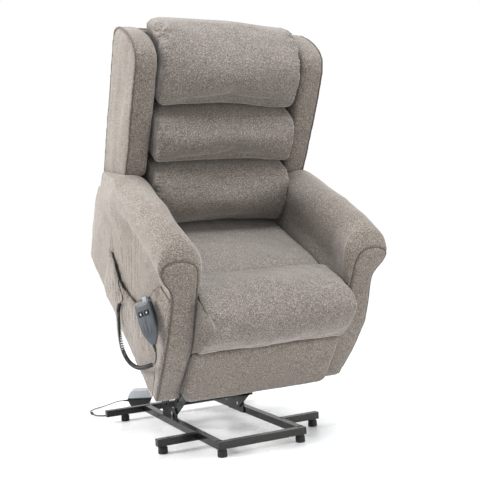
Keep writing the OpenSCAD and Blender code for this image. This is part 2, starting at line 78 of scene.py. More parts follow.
# ---------------------------------------------------------------- camera
def make_camera():
    az, el, roll = math.radians(-25.6979014), math.radians(0.9577044), math.radians(-3.4322069)
    back = Vector((math.sin(az) * math.cos(el), -math.cos(az) * math.cos(el), math.sin(el)))
    right = Vector((math.cos(az), math.sin(az), 0))
    up = back.cross(right)
    r2 = right * math.cos(roll) + up * math.sin(roll)
    u2 = -right * math.sin(roll) + up * math.cos(roll)
    target = Vector(from_base([1.7073, 96.0812, 722.1100]))
    data = bpy.data.cameras.new("camera")
    data.sensor_width, data.lens = 36.0, 36.0 * 833.9613559 / 480
    data.clip_start, data.clip_end = 0.1, 60
    cam = bpy.data.objects.new("camera", data)
    scene.collection.objects.link(cam)
    m = Matrix((r2, u2, back)).transposed().to_4x4()
    m.translation = target + back * 2.9362554
    cam.matrix_world = m
    scene.camera = cam
    return cam


make_camera()


# ---------------------------------------------------------------- materials
def nodes_of(name):
    m = bpy.data.materials.new(name)
    m.use_nodes = True
    nt = m.node_tree
    return m, nt, nt.nodes["Principled BSDF"]


def add(nt, kind, **values):
    n = nt.nodes.new(kind)
    for k, v in values.items():
        if k in n.inputs:
            n.inputs[k].default_value = v
        else:
            setattr(n, k, v)
    return n


def mapped(nt, rotate=(0, 0, 0), scale=(1, 1, 1)):
    co = nt.nodes.new("ShaderNodeTexCoord")
    mp = nt.nodes.new("ShaderNodeMapping")
    mp.inputs["Rotation"].default_value = rotate
    mp.inputs["Scale"].default_value = scale
    nt.links.new(co.outputs["Object"], mp.inputs["Vector"])
    return mp.outputs["Vector"]


def ramp(nt, source, stops):
    r = nt.nodes.new("ShaderNodeValToRGB")
    e = r.color_ramp.elements
    while len(e) < len(stops):
        e.new(0.5)
    for k, (at, c) in enumerate(stops):
        e[k].position = at
        e[k].color = (c[0], c[1], c[2], 1)
    nt.links.new(source, r.inputs["Fac"])
    return r.outputs["Color"]


def blend_colour(nt, kind, factor, a, b):
    m = nt.nodes.new("ShaderNodeMix")
    m.data_type, m.blend_type = "RGBA", kind
    m.inputs[0].default_value = factor if isinstance(factor, (int, float)) else 1.0
    if not isinstance(factor, (int, float)):
        nt.links.new(factor, m.inputs[0])
    for socket, v in ((m.inputs[6], a), (m.inputs[7], b)):
        if isinstance(v, tuple):
            socket.default_value = (v[0], v[1], v[2], 1)
        else:
            nt.links.new(v, socket)
    return m.outputs[2]


def noise(nt, vector, scale, detail=3.0, rough=0.5):
    n = add(nt, "ShaderNodeTexNoise", Scale=scale, Detail=detail, Roughness=rough)
    nt.links.new(vector, n.inputs["Vector"])
    return n.outputs["Fac"]


def maths(nt, op, a, b):
    m = nt.nodes.new("ShaderNodeMath")
    m.operation = op
    for k, v in enumerate((a, b)):
        if isinstance(v, (int, float)):
            m.inputs[k].default_value = v
        else:
            nt.links.new(v, m.inputs[k])
    return m.outputs[0]


def bump(nt, height, strength, distance, before=None):
    b = add(nt, "ShaderNodeBump", Strength=strength, Distance=distance)
    nt.links.new(height, b.inputs["Height"])
    if before is not None:
        nt.links.new(before, b.inputs["Normal"])
    return b.outputs["Normal"]


def fabric(name, dark, mid, light, sheen=0.35):
    """A marl tweed: mixed yarns a few millimetres long, a plain weave under them and a soft nap."""
    m, nt, p = nodes_of(name)
    v = mapped(nt, rotate=(-TILT, 0, 0))
    yarn = noise(nt, v, 250.0, 4.0, 0.78)
    fleck = add(nt, "ShaderNodeTexVoronoi", Scale=360.0, Randomness=1.0)
    nt.links.new(v, fleck.inputs["Vector"])
    colour = ramp(nt, yarn, [(0.37, dark), (0.5, mid), (0.63, light)])
    flecks = ramp(nt, fleck.outputs["Color"], [(0.12, (0.66, 0.66, 0.67)), (0.5, (1, 1, 1)), (0.9, (1.30, 1.29, 1.26))])
    colour = blend_colour(nt, "MULTIPLY", 0.85, colour, flecks)
    cloud = ramp(nt, noise(nt, v, 34.0, 3.0, 0.55), [(0.3, (0.95, 0.95, 0.95)), (0.7, (1.05, 1.05, 1.05))])
    colour = blend_colour(nt, "MULTIPLY", 0.85, colour, cloud)
    broad = ramp(nt, noise(nt, v, 5.0, 2.0, 0.5), [(0.3, (0.955, 0.95, 0.95)), (0.7, (1.04, 1.04, 1.045))])
    colour = blend_colour(nt, "MULTIPLY", 0.8, colour, broad)
    nt.links.new(colour, p.inputs["Base Color"])
    thread = noise(nt, v, 900.0, 2.0, 0.5)
    height = maths(nt, "ADD", maths(nt, "MULTIPLY", thread, 0.4), yarn)
    rough = ramp(nt, yarn, [(0.3, (0.86, 0.86, 0.86)), (0.7, (0.98, 0.98, 0.98))])
    nt.links.new(rough, p.inputs["Roughness"])
    nt.links.new(bump(nt, height, 0.55, 0.0014), p.inputs["Normal"])
    p.inputs["Sheen Weight"].default_value = sheen
    p.inputs["Sheen Roughness"].default_value = 0.45
    p.inputs["Sheen Tint"].default_value = (0.95, 0.92, 0.88, 1)
    p.inputs["Specular IOR Level"].default_value = 0.25
    return m


def plastic(name, colour, rough=0.45, grain=0.25, scale=1400.0, spread=0.12, coat=0.0, shine=0.5):
    m, nt, p = nodes_of(name)
    v = mapped(nt)
    n = noise(nt, v, scale, 2.0, 0.6)
    cloud = noise(nt, v, 22.0, 3.0, 0.6)
    lo = tuple(c * (1 - spread) for c in colour)
    hi = tuple(min(1, c * (1 + spread)) for c in colour)
    nt.links.new(ramp(nt, cloud, [(0.3, lo), (0.7, hi)]), p.inputs["Base Color"])
    r = ramp(nt, cloud, [(0.3, (rough * 0.85,) * 3), (0.7, (min(1, rough * 1.15),) * 3)])
    nt.links.new(r, p.inputs["Roughness"])
    nt.links.new(bump(nt, n, grain, 0.0003), p.inputs["Normal"])
    p.inputs["Specular IOR Level"].default_value = shine
    if coat:
        p.inputs["Coat Weight"].default_value = coat
        p.inputs["Coat Roughness"].default_value = 0.25
    return m


def metal(name, colour, rough=0.3, streak=(1, 1, 1), scale=240.0, spread=0.1):
    m, nt, p = nodes_of(name)
    v = mapped(nt, scale=streak)
    n = noise(nt, v, scale, 4.0, 0.6)
    lo = tuple(c * (1 - spread) for c in colour)
    hi = tuple(min(1, c * (1 + spread)) for c in colour)
    nt.links.new(ramp(nt, n, [(0.3, lo), (0.7, hi)]), p.inputs["Base Color"])
    nt.links.new(ramp(nt, n, [(0.3, (rough * 0.8,) * 3), (0.7, (rough * 1.25,) * 3)]), p.inputs["Roughness"])
    p.inputs["Metallic"].default_value = 1.0
    nt.links.new(bump(nt, n, 0.1, 0.0002), p.inputs["Normal"])
    return m


def powder_coat(name):
    """Satin black powder coat with its fine orange peel, some dust on it, and slightly paler worn patches."""
    m, nt, p = nodes_of(name)
    v = mapped(nt)
    peel = noise(nt, v, 620.0, 2.0, 0.5)
    dust = noise(nt, v, 16.0, 5.0, 0.65)
    colour = ramp(nt, dust, [(0.35, (0.0035, 0.0038, 0.0042)), (0.62, (0.007, 0.0075, 0.008)), (0.82, (0.018, 0.0185, 0.0195))])
    nt.links.new(colour, p.inputs["Base Color"])
    nt.links.new(ramp(nt, dust, [(0.3, (0.20,) * 3), (0.75, (0.36,) * 3)]), p.inputs["Roughness"])
    nt.links.new(bump(nt, peel, 0.22, 0.0004), p.inputs["Normal"])
    p.inputs["Specular IOR Level"].default_value = 0.28
    return m


def plywood(name):
    m, nt, p = nodes_of(name)
    v = mapped(nt, rotate=(-TILT, 0, 0), scale=(1, 0.12, 1))
    grain = noise(nt, v, 90.0, 6.0, 0.62)
    ring = add(nt, "ShaderNodeTexWave", Scale=9.0, Distortion=5.0, Detail=3.0)
    ring.wave_type = "BANDS"
    nt.links.new(v, ring.inputs["Vector"])
    colour = ramp(nt, grain, [(0.3, (0.40, 0.26, 0.13)), (0.55, (0.58, 0.41, 0.24)), (0.8, (0.68, 0.52, 0.33))])
    colour = blend_colour(nt, "MULTIPLY", 0.4, colour, ramp(nt, ring.outputs["Fac"], [(0.2, (0.75, 0.7, 0.66)), (0.7, (1, 1, 1))]))
    nt.links.new(colour, p.inputs["Base Color"])
    nt.links.new(ramp(nt, grain, [(0.3, (0.55,) * 3), (0.7, (0.75,) * 3)]), p.inputs["Roughness"])
    nt.links.new(bump(nt, grain, 0.25, 0.0006), p.inputs["Normal"])
    return m


def webbing(name):
    m, nt, p = nodes_of(name)
    v = mapped(nt, rotate=(-TILT, 0, 0))
    wave = add(nt, "ShaderNodeTexWave", Scale=150.0, Distortion=0.4)
    wave.bands_direction = "X"
    nt.links.new(v, wave.inputs["Vector"])
    broad = add(nt, "ShaderNodeTexWave", Scale=22.0, Distortion=0.0)
    broad.bands_direction = "X"
    nt.links.new(v, broad.inputs["Vector"])
    colour = ramp(nt, wave.outputs["Fac"], [(0.2, (0.012, 0.012, 0.013)), (0.8, (0.05, 0.05, 0.052))])
    colour = blend_colour(nt, "ADD", 0.5, colour, ramp(nt, broad.outputs["Fac"], [(0.9, (0, 0, 0)), (0.97, (0.16, 0.16, 0.15))]))
    nt.links.new(colour, p.inputs["Base Color"])
    nt.links.new(ramp(nt, wave.outputs["Fac"], [(0.2, (0.8,) * 3), (0.8, (0.95,) * 3)]), p.inputs["Roughness"])
    nt.links.new(bump(nt, wave.outputs["Fac"], 0.5, 0.0006), p.inputs["Normal"])
    return m


FABRIC = fabric("upholstery_cloth", (0.058, 0.0487, 0.0405), (0.123, 0.1058, 0.0912), (0.219, 0.1935, 0.1700))
FABRIC_SEAT = fabric("cushion_cloth", (0.056, 0.0478, 0.0412), (0.121, 0.1055, 0.0937), (0.218, 0.1955, 0.1772))
# the piping is the same tweed as the cover, its colours darkened as painted shade for the dark line at the seams
PIPING_PAINTED_SHADE = fabric("piping_cloth_painted_shade", (0.036, 0.030, 0.026), (0.068, 0.058, 0.050), (0.120, 0.105, 0.092), 0.2)
STEEL = powder_coat("powder_coated_steel")
PLATE = metal("dark_zinc_plate", (0.13, 0.13, 0.135), 0.42)
BRIGHT = metal("bright_zinc_pin", (0.62, 0.62, 0.64), 0.26, streak=(0.3, 1, 1))
ROD = metal("chromed_rod", (0.7, 0.7, 0.72), 0.14)
BLACK = plastic("black_plastic", (0.010, 0.010, 0.011), 0.42, shine=0.3)
TUBE = plastic("black_tube", (0.012, 0.012, 0.013), 0.3, 0.12, shine=0.35)
RUBBER = plastic("black_rubber", (0.011, 0.011, 0.012), 0.62, 0.4, 900.0, shine=0.25)
CORD = plastic("cord_jacket", (0.008, 0.0085, 0.0095), 0.34, 0.15, shine=0.35)
GREY = plastic("grey_plastic_top", (0.27, 0.285, 0.30), 0.30, 0.12)
CABLE = plastic("grey_green_cable", (0.13, 0.165, 0.14), 0.4, 0.15)
HANDSET = plastic("handset_blue_grey", (0.046, 0.053, 0.060), 0.42, 0.3, 1700.0, shine=0.4)
HANDSET_DARK = plastic("handset_dark_side", (0.016, 0.018, 0.021), 0.4, 0.25, 1700.0)
CLIP = plastic("clip_silver", (0.27, 0.31, 0.37), 0.28, 0.1, 1500.0, 0.06)
BUTTON = plastic("button_black", (0.003, 0.003, 0.0035), 0.5, 0.2, shine=0.12)
MARK = plastic("button_mark", (0.44, 0.46, 0.48), 0.5, 0.05)
PLY = plywood("bare_plywood")
WEB = webbing("elastic_webbing")
BY_SLOT = {
    "black_steel": STEEL, "zinc_steel": PLATE, "black_plastic": BLACK, "grey_plastic": GREY, "black_rubber": RUBBER,
    "grey_cable": CABLE, "bright_steel": BRIGHT, "black_tube": TUBE, "handset_plastic": HANDSET,
    "clip_plastic": CLIP, "button_plastic": BUTTON, "ply": PLY, "webbing": WEB, "upholstery": FABRIC,
    "cushion_cloth": FABRIC_SEAT,
}


def paint(obj, material):
    obj.data.materials.clear()
    obj.data.materials.append(material)


# ---------------------------------------------------------------- mesh helpers
def make(name, points, faces, material, smooth=True):
    """points are in metres in the row frame."""
    mesh = bpy.data.meshes.new(name)
    mesh.from_pydata([tuple(p) for p in np.asarray(points, float)], [], [tuple(int(i) for i in f) for f in faces])
    mesh.validate()
    bm = bmesh.new()
    bm.from_mesh(mesh)
    bmesh.ops.recalc_face_normals(bm, faces=bm.faces)
    bm.to_mesh(mesh)
    bm.free()
    if smooth:
        mesh.polygons.foreach_set("use_smooth", [True] * len(mesh.polygons))
    obj = bpy.data.objects.new(name, mesh)
    scene.collection.objects.link(obj)
    paint(obj, material)
    return obj


def bevelled(obj, width, segments=2, angle=35):
    b = obj.modifiers.new("edges", "BEVEL")
    b.width, b.segments, b.limit_method, b.angle_limit = width, segments, "ANGLE", math.radians(angle)
    b.harden_normals = False
    return obj


def catmull(p, per, closed=False):
    p = np.asarray(p, float)
    n = len(p)
    out = []
    for i in range(n if closed else n - 1):
        if closed:
            a, b, c, d = p[(i - 1) % n], p[i], p[(i + 1) % n], p[(i + 2) % n]
        else:
            a, b, c, d = p[max(i - 1, 0)], p[i], p[i + 1], p[min(i + 2, n - 1)]
        for t in np.arange(per) / per:
            out.append(0.5 * (2 * b + (c - a) * t + (2 * a - 5 * b + 4 * c - d) * t * t + (3 * b - a - 3 * c + d) * t ** 3))
    if not closed:
        out.append(p[-1])
    return np.array(out)


def even(p, n, closed=False):
    """n points evenly spaced along a line."""
    p = np.asarray(p, float)
    q = np.vstack([p, p[:1]]) if closed else p
    along = np.concatenate([[0], np.cumsum(np.linalg.norm(np.diff(q, axis=0), axis=1))])
    at = np.linspace(0, along[-1], n + 1)[:-1] if closed else np.linspace(0, along[-1], n)
    return np.stack([np.interp(at, along, q[:, k]) for k in range(q.shape[1])], 1)


def rounded(p, n, soft):
    """A closed outline as n even points with its corners rounded over about soft mm."""
    q = even(p, n, True)
    step = np.linalg.norm(q[1] - q[0])
    k = max(1, int(round(soft / step)))
    w = np.hanning(2 * k + 3)[1:-1]
    w /= w.sum()
    out = np.zeros_like(q)
    for i, wi in enumerate(w):
        out += wi * np.roll(q, i - k, axis=0)
    return out


def inward(p):
    """Unit inward normals of a closed outline of 2-D points."""
    t = np.roll(p, -1, 0) - np.roll(p, 1, 0)
    nrm = np.stack([-t[:, 1], t[:, 0]], 1)
    nrm /= np.maximum(np.linalg.norm(nrm, axis=1, keepdims=True), 1e-9)
    area = np.sum(p[:, 0] * np.roll(p[:, 1], -1) - np.roll(p[:, 0], -1) * p[:, 1])
    return nrm if area > 0 else -nrm


def loft(loops, cap=True):
    """Closed loops of 3-D points, all the same length, as points and faces."""
    n, pts, faces = len(loops[0]), np.vstack(loops), []
    for j in range(len(loops) - 1):
        for i in range(n):
            a, b = j * n + i, j * n + (i + 1) % n
            faces.append((a, b, b + n, a + n))
    if cap:
        faces.append(tuple(range(n - 1, -1, -1)))
        faces.append(tuple((len(loops) - 1) * n + i for i in range(n)))
    return pts, faces


def grid(points, nu, nv, wrap=False):
    faces = []
    for j in range(nv - 1):
        for i in range(nu if wrap else nu - 1):
            a, b = j * nu + i, j * nu + (i + 1) % nu
            faces.append((a, b, b + nu, a + nu))
    return faces


def remesh(points, faces, voxel):
    """The closed shape as an even net of quads. Points are in mm in any axes."""
    mesh = bpy.data.meshes.new("tmp")
    mesh.from_pydata([tuple(p) for p in points / 1000.0], [], [tuple(f) for f in faces])
    bm = bmesh.new()
    bm.from_mesh(mesh)
    bmesh.ops.triangulate(bm, faces=[f for f in bm.faces if len(f.verts) > 4])
    bmesh.ops.recalc_face_normals(bm, faces=bm.faces)
    bm.to_mesh(mesh)
    surface = BVHTree.FromBMesh(bm)
    bm.free()
    o = bpy.data.objects.new("tmp", mesh)
    scene.collection.objects.link(o)
    r = o.modifiers.new("r", "REMESH")
    r.mode, r.voxel_size, r.adaptivity = "VOXEL", voxel / 1000.0, 0.0
    dg = bpy.context.evaluated_depsgraph_get()
    out = bpy.data.meshes.new_from_object(o.evaluated_get(dg))
    bpy.data.objects.remove(o)
    bpy.data.meshes.remove(mesh)
    co = np.zeros(len(out.vertices) * 3)
    out.vertices.foreach_get("co", co)
    q = [tuple(p.vertices) for p in out.polygons]
    bpy.data.meshes.remove(out)
    co = co.reshape(-1, 3)
    # the voxels leave faint steps, so each point goes back onto the shape itself
    for i, c in enumerate(co):
        hit, _, _, far = surface.find_nearest(Vector(c))
        if hit is not None and far < 0.4 * voxel / 1000.0:
            co[i] = hit
    return co * 1000.0, q


def quads(faces):
    return np.array([f if len(f) == 4 else (f[0], f[1], f[2], f[2]) for f in faces], int)


def normals(p, q):
    a = p[q[:, 2]] - p[q[:, 0]]
    b = p[q[:, 3]] - p[q[:, 1]]
    same = q[:, 3] == q[:, 2]
    b[same] = p[q[same, 2]] - p[q[same, 1]]
    fn = np.cross(a, b)
    out = np.zeros_like(p)
    for k in range(4):
        np.add.at(out, q[:, k], fn)
    return out / np.maximum(np.linalg.norm(out, axis=1, keepdims=True), 1e-12)


def edges_of(q):
    e = np.concatenate([q[:, [0, 1]], q[:, [1, 2]], q[:, [2, 3]], q[:, [3, 0]]])
    e = e[e[:, 0] != e[:, 1]]
    return np.unique(np.sort(e, axis=1), axis=0)


def relax(p, q, rounds, amount=0.5, hold=None):
    e = edges_of(q)
    count = np.bincount(e.ravel(), minlength=len(p))[:, None]
    for _ in range(rounds):
        s = np.zeros_like(p)
        np.add.at(s, e[:, 0], p[e[:, 1]])
        np.add.at(s, e[:, 1], p[e[:, 0]])
        d = (s / np.maximum(count, 1) - p) * amount
        if hold is not None:
            d *= hold[:, None]
        p = p + d
    return p


def finer(p, faces):
    """One level of Catmull-Clark subdivision."""
    mesh = bpy.data.meshes.new("tmp")
    mesh.from_pydata([tuple(x) for x in p / 1000.0], [], [tuple(f) for f in faces])
    o = bpy.data.objects.new("tmp", mesh)
    scene.collection.objects.link(o)
    s = o.modifiers.new("s", "SUBSURF")
    s.levels = s.render_levels = 1
    dg = bpy.context.evaluated_depsgraph_get()
    out = bpy.data.meshes.new_from_object(o.evaluated_get(dg))
    bpy.data.objects.remove(o)
    bpy.data.meshes.remove(mesh)
    co = np.zeros(len(out.vertices) * 3)
    out.vertices.foreach_get("co", co)
    q = [tuple(f.vertices) for f in out.polygons]
    bpy.data.meshes.remove(out)
    return co.reshape(-1, 3) * 1000.0, q


def simulate(points, faces, pinned, pressure=4.0, frames=20, grow=0.0, cap=26.0, stiff=12.0):
    """Blows the cover up with Blender's cloth, held at the pinned points. Returns the moves in mm."""
    mesh = bpy.data.meshes.new("cloth")
    mesh.from_pydata([tuple(p) for p in points / 1000.0], [], [tuple(f) for f in faces])
    o = bpy.data.objects.new("cloth", mesh)
    scene.collection.objects.link(o)
    group = o.vertex_groups.new(name="pin")
    group.add([int(i) for i in np.flatnonzero(pinned)], 1.0, "REPLACE")
    c = o.modifiers.new("cloth", "CLOTH")
    s = c.settings
    s.quality, s.mass, s.air_damping = 5, 0.35, 2.0
    s.tension_stiffness = s.compression_stiffness = stiff
    s.shear_stiffness, s.bending_stiffness = 5.0, 0.6
    s.use_pressure, s.uniform_pressure_force = True, pressure
    s.effector_weights.gravity = 0.0
    s.vertex_group_mass = "pin"
    s.pin_stiffness = 1.0
    s.shrink_min = -grow
    c.collision_settings.use_collision = False
    c.point_cache.frame_start, c.point_cache.frame_end = 1, frames
    for f in range(1, frames + 1):
        scene.frame_set(f)
    dg = bpy.context.evaluated_depsgraph_get()
    e = o.evaluated_get(dg)
    co = np.zeros(len(points) * 3)
    e.data.vertices.foreach_get("co", co)
    moved = co.reshape(-1, 3) * 1000.0 - points
    scene.frame_set(1)
    bpy.data.objects.remove(o)
    bpy.data.meshes.remove(mesh)
    far = np.linalg.norm(moved, axis=1, keepdims=True)
    return moved * np.minimum(1.0, cap / np.maximum(far, 1e-9))


def near(p, line, reach):
    """For each point, its distance to a dense line, the line's length there and the nearest point, within reach."""
    line = np.asarray(line, float)
    along = np.concatenate([[0], np.cumsum(np.linalg.norm(np.diff(line, axis=0), axis=1))])
    d, s, at = np.full(len(p), 1e9), np.zeros(len(p)), np.zeros_like(p)
    lo, hi = line.min(0) - reach, line.max(0) + reach
    idx = np.flatnonzero(((p >= lo) & (p <= hi)).all(1))
    for k in range(0, len(idx), 3000):
        part = idx[k:k + 3000]
        dist = np.linalg.norm(p[part, None, :] - line[None, :, :], axis=2)
        i = dist.argmin(1)
        d[part], s[part], at[part] = dist[np.arange(len(part)), i], along[i], line[i]
    return d, s, at


def ridges(s, spacing, seed, sharp=1.3):
    """Irregular ridges along a seam, 0 in the troughs and 1 on the crests, with a strength for each."""
    r = np.random.default_rng(seed)
    total = s.max() + 4 * spacing
    cuts = np.concatenate([[0], np.cumsum(spacing * r.uniform(0.55, 1.5, int(total / spacing * 2) + 6))])
    k = np.clip(np.searchsorted(cuts, s, side="right") - 1, 0, len(cuts) - 2)
    t = (s - cuts[k]) / (cuts[k + 1] - cuts[k])
    crest = np.sin(np.pi * t) ** sharp
    power = r.uniform(0.35, 1.0, len(cuts))[k]
    long = r.uniform(0.5, 1.6, len(cuts))[k]
    return crest, power, long


def waves(p, seed, size, octaves=3):
    """Smooth noise of about unit height, from sums of sines."""
    r = np.random.default_rng(seed)
    out = np.zeros(len(p))
    for o in range(octaves):
        for _ in range(5):
            d = r.normal(size=3)
            d /= np.linalg.norm(d)
            out += np.sin(p @ d * (2 * np.pi / (size / 1.9 ** o)) * r.uniform(0.7, 1.3) + r.uniform(0, 6.28)) / (2.1 * 1.8 ** o)
    return out


def step01(x):
    x = np.clip(x, 0, 1)
    return x * x * (3 - 2 * x)


def groove(p, n, line, width, depth, reach=None):
    """Presses a seam line into the surface."""
    d, _, _ = near(p, line, (reach or width * 3))
    return p - n * (depth * np.exp(-(d / width) ** 2))[:, None]


def pucker(p, n, line, seed, spacing=13.0, length=26.0, depth=3.2, seam=(3.2, 3.0), only=None):
    """Gathers beside a seam: short folds that run away from it and die out."""
    d, s, _ = near(p, line, length * 2.6)
    crest, power, long = ridges(s, spacing, seed)
    fold = np.exp(-(d / (length * long)) ** 1.6) * power
    move = -depth * fold * (1 - crest) + 0.45 * depth * fold * crest
    move -= seam[1] * np.exp(-(d / seam[0]) ** 2)
    if only is not None:
        move = move * only
    return p + n * move[:, None]


def tube(line, radius, sides=8, closed=False, taper=None):
    """A round tube along a line of 3-D points, as points and faces."""
    line = np.asarray(line, float)
    m = len(line)
    if closed:
        t = np.roll(line, -1, 0) - np.roll(line, 1, 0)
    else:
        t = np.gradient(line, axis=0)
    t /= np.maximum(np.linalg.norm(t, axis=1, keepdims=True), 1e-12)
    up = np.array([0, 0, 1.0]) if abs(t[0, 2]) < 0.9 else np.array([1.0, 0, 0])
    u = np.cross(t[0], up)
    u /= np.linalg.norm(u)
    pts = []
    for i in range(m):
        u = u - t[i] * (u @ t[i])
        u /= np.linalg.norm(u)
        v = np.cross(t[i], u)
        r = radius if taper is None else radius * taper[i]
        a = 2 * np.pi * np.arange(sides) / sides
        pts.append(line[i] + r * (np.cos(a)[:, None] * u + np.sin(a)[:, None] * v))
    pts = np.vstack(pts)
    faces = grid(None, sides, m, wrap=True)
    if closed:
        # the last ring may be turned against the first; join by the nearest corner
        a, b = pts[(m - 1) * sides:], pts[:sides]
        k = int(np.argmin([np.linalg.norm(np.roll(b, -j, 0) - a) for j in range(sides)]))
        for i in range(sides):
            c, d = (m - 1) * sides + i, (m - 1) * sides + (i + 1) % sides
            faces.append((c, d, (i + 1 + k) % sides, (i + k) % sides))
    else:
        faces.append(tuple(range(sides - 1, -1, -1)))
        faces.append(tuple((m - 1) * sides + i for i in range(sides)))
    return pts, faces


def hug(line, p, n, out):
    """Moves a line onto the nearest surface points, out mm proud."""
    res = []
    for k in range(0, len(line), 200):
        part = line[k:k + 200]
        i = np.linalg.norm(part[:, None, :] - p[None, :, :], axis=2).argmin(1)
        res.append(p[i] + n[i] * out)
    return np.vstack(res)


def smooth_line(line, rounds, closed=False):
    line = np.array(line, float)
    for _ in range(rounds):
        a, b = np.roll(line, 1, 0), np.roll(line, -1, 0)
        mid = line * 0.5 + (a + b) * 0.25
        if not closed:
            mid[0], mid[-1] = line[0], line[-1]
        line = mid
    return line


# ---------------------------------------------------------------- cords (made first)
def rot(a, axis):
    return np.array(Matrix.Rotation(math.radians(a), 3, axis))


HS_M = rot(-6, "Y") @ rot(-17.4, "X") @ rot(-48, "Z")
HS_T = np.array([-411.5, -45, 546.6])


def from_handset(p):
    return from_base(np.asarray(p, float) @ HS_M.T + HS_T)


LEAD = [[-370, 262, 560], [-374, 262, 560], [-379, 263, 565], [-383, 265, 580], [-387, 267, 596], [-393, 267, 605],
        [-400, 259, 604], [-404, 243, 592], [-405.5, 222, 572], [-405, 209, 555], [-404, 209, 544], [-403, 220, 537],
        [-403, 234, 533], [-403, 245, 527]]
COIL = [[-403, 245, 527], [-403, 258, 518], [-403, 272, 500], [-403, 276, 480], [-403, 276, 455], [-403, 274, 430],
        [-403, 269, 404], [-403, 258, 380], [-403, 238, 358], [-403, 208, 340], [-403, 174, 329], [-403, 138, 324],
        [-403, 100, 323], [-403, 62, 326], [-403, 20, 334], [-403, -22, 343], [-403, -56, 352]]
TAIL = [[-403, -56, 352], [-403, -66, 354.6], [-403.2, -78, 359], [-403.8, -89, 367], [-404.4, -97, 378],
        [-404.8, -100.2, 388], [-404.9, -100.8, 396]]
WIRE, COIL_R, PITCH = 4.2, 5.4, 7.0


def curly_cord():
    lead = even(catmull(LEAD, 6), 60)
    axis = even(catmull(COIL, 12), 700)
    tail = even(catmull(TAIL, 6), 26)
    length = np.linalg.norm(np.diff(axis, axis=0), axis=1).sum()
    turns = int(length / PITCH)
    n = turns * 14
    t = np.linspace(0, 1, n + 1)
    # the turns open up a little where the cord is bent or pulled
    gap = 1 + 0.45 * np.exp(-((t - 0.34) / 0.06) ** 2) + 0.75 * np.exp(-((t - 0.97) / 0.04) ** 2) + 0.3 * np.exp(-((t - 0.55) / 0.03) ** 2)
    at = np.concatenate([[0], np.cumsum((gap[1:] + gap[:-1]) / 2)])
    at /= at[-1]
    src = np.linspace(0, 1, len(axis))
    centre = np.stack([np.interp(at, src, axis[:, k]) for k in range(3)], 1)
    tan = np.gradient(centre, axis=0)
    tan /= np.linalg.norm(tan, axis=1, keepdims=True)
    u = np.array([1.0, 0, 0])
    ang = 2 * np.pi * turns * t
    ease = step01(t * turns / 1.2) * step01((1 - t) * turns / 1.2)
    side = np.cross(tan, u)
    side /= np.linalg.norm(side, axis=1, keepdims=True)
    uu = np.cross(side, tan)
    helix = centre + (COIL_R * ease)[:, None] * (np.cos(ang)[:, None] * uu + np.sin(ang)[:, None] * side)
    line = np.vstack([lead[:-1], helix, tail[1:]])
    pts = from_base(line)
    data = bpy.data.curves.new("handset_curly_cord", "CURVE")
    data.dimensions = "3D"
    sp = data.splines.new("POLY")
    sp.points.add(len(pts) - 1)
    sp.points.foreach_set("co", np.column_stack([pts, np.ones(len(pts))]).ravel())
    data.bevel_depth, data.bevel_resolution, data.use_fill_caps = WIRE / 2000, 2, True
    sp.use_smooth = True
    o = bpy.data.objects.new("handset_curly_cord", data)
    scene.collection.objects.link(o)
    paint(o, CORD)
    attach(o, "chair")
    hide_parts("handset_cord_lead", "handset_coil", "handset_cord_tail")
    total = float(np.linalg.norm(np.diff(pts, axis=0), axis=1).sum())
    return total


ROUTE_A = [[-164.8, 1049.6, 22], [-183, 1058, 21], [-205, 1066, 16], [-232, 1072, 9], [-262, 1070, 4.2], [-292, 1058, 3.6],
           [-314, 1040, 3.4], [-327, 1020, 3.4], [-333, 1000, 3.6], [-334, 986, 4.6], [-334, 978, 5.5]]
ROUTE_B = [[-334, 952, 5.5], [-334, 944, 4.6], [-332, 930, 3.6], [-320, 908, 3.4], [-296, 892, 3.1], [-262, 884, 3.1],
           [-222, 882, 3.1], [-180, 878, 3.1], [-140, 868, 3.1], [-106, 850, 3.1], [-82, 824, 3.1], [-68, 794, 3.2],
           [-62, 762, 3.9], [-60, 732, 8], [-59, 710, 20], [-57, 695, 44], [-53, 686, 72], [-47, 681, 96],
           [-38, 679.4, 112], [-31, 679.2, 116.6], [-24.2, 679.1, 116.9]]


def supply_leads():
    plug = in_line_connector()
    for name, route, mat, slot, node, far, n in (
            ("supply_cable_a", ROUTE_A, CABLE, "grey_cable", "supply_lead_a", "connector", 90),
            ("supply_cable_b", ROUTE_B, CORD, "black_rubber", "supply_lead_b", "object", 200)):
        line = even(catmull(route, 8), n)
        line[:, 2] = np.maximum(line[:, 2], 2.75)
        pts = from_base(line)
        v, f = tube(pts, 0.0027, 10)
        o = make(name, v, f, mat)
        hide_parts(node)
        if node == "supply_lead_a":
            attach(o, "base")
        else:
            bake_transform(o)


def in_line_connector():
    """The lead's two-part in-line connector, with its grip rings."""
    prof = [(978, 2.7), (977.6, 4.0), (975, 5.0), (972, 5.5), (970, 4.9), (968, 5.5), (966, 4.9), (964.4, 5.5), (963.4, 5.5),
            (963.2, 4.7), (962.6, 4.7), (962.4, 5.3), (958, 5.3), (955, 4.6), (952.4, 3.6), (952, 2.7)]
    loops = []
    for y, r in prof:
        a = 2 * np.pi * np.arange(20) / 20
        loops.append(np.stack([-334 + r * np.cos(a), np.full(20, y), 5.6 + r * np.sin(a)], 1))
    v, f = loft(loops)
    o = make("supply_connector", from_base(v), f, BLACK)
    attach(o, "base")
    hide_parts("supply_lead_plug")
    return o


CORD_LENGTH = curly_cord()
supply_leads()


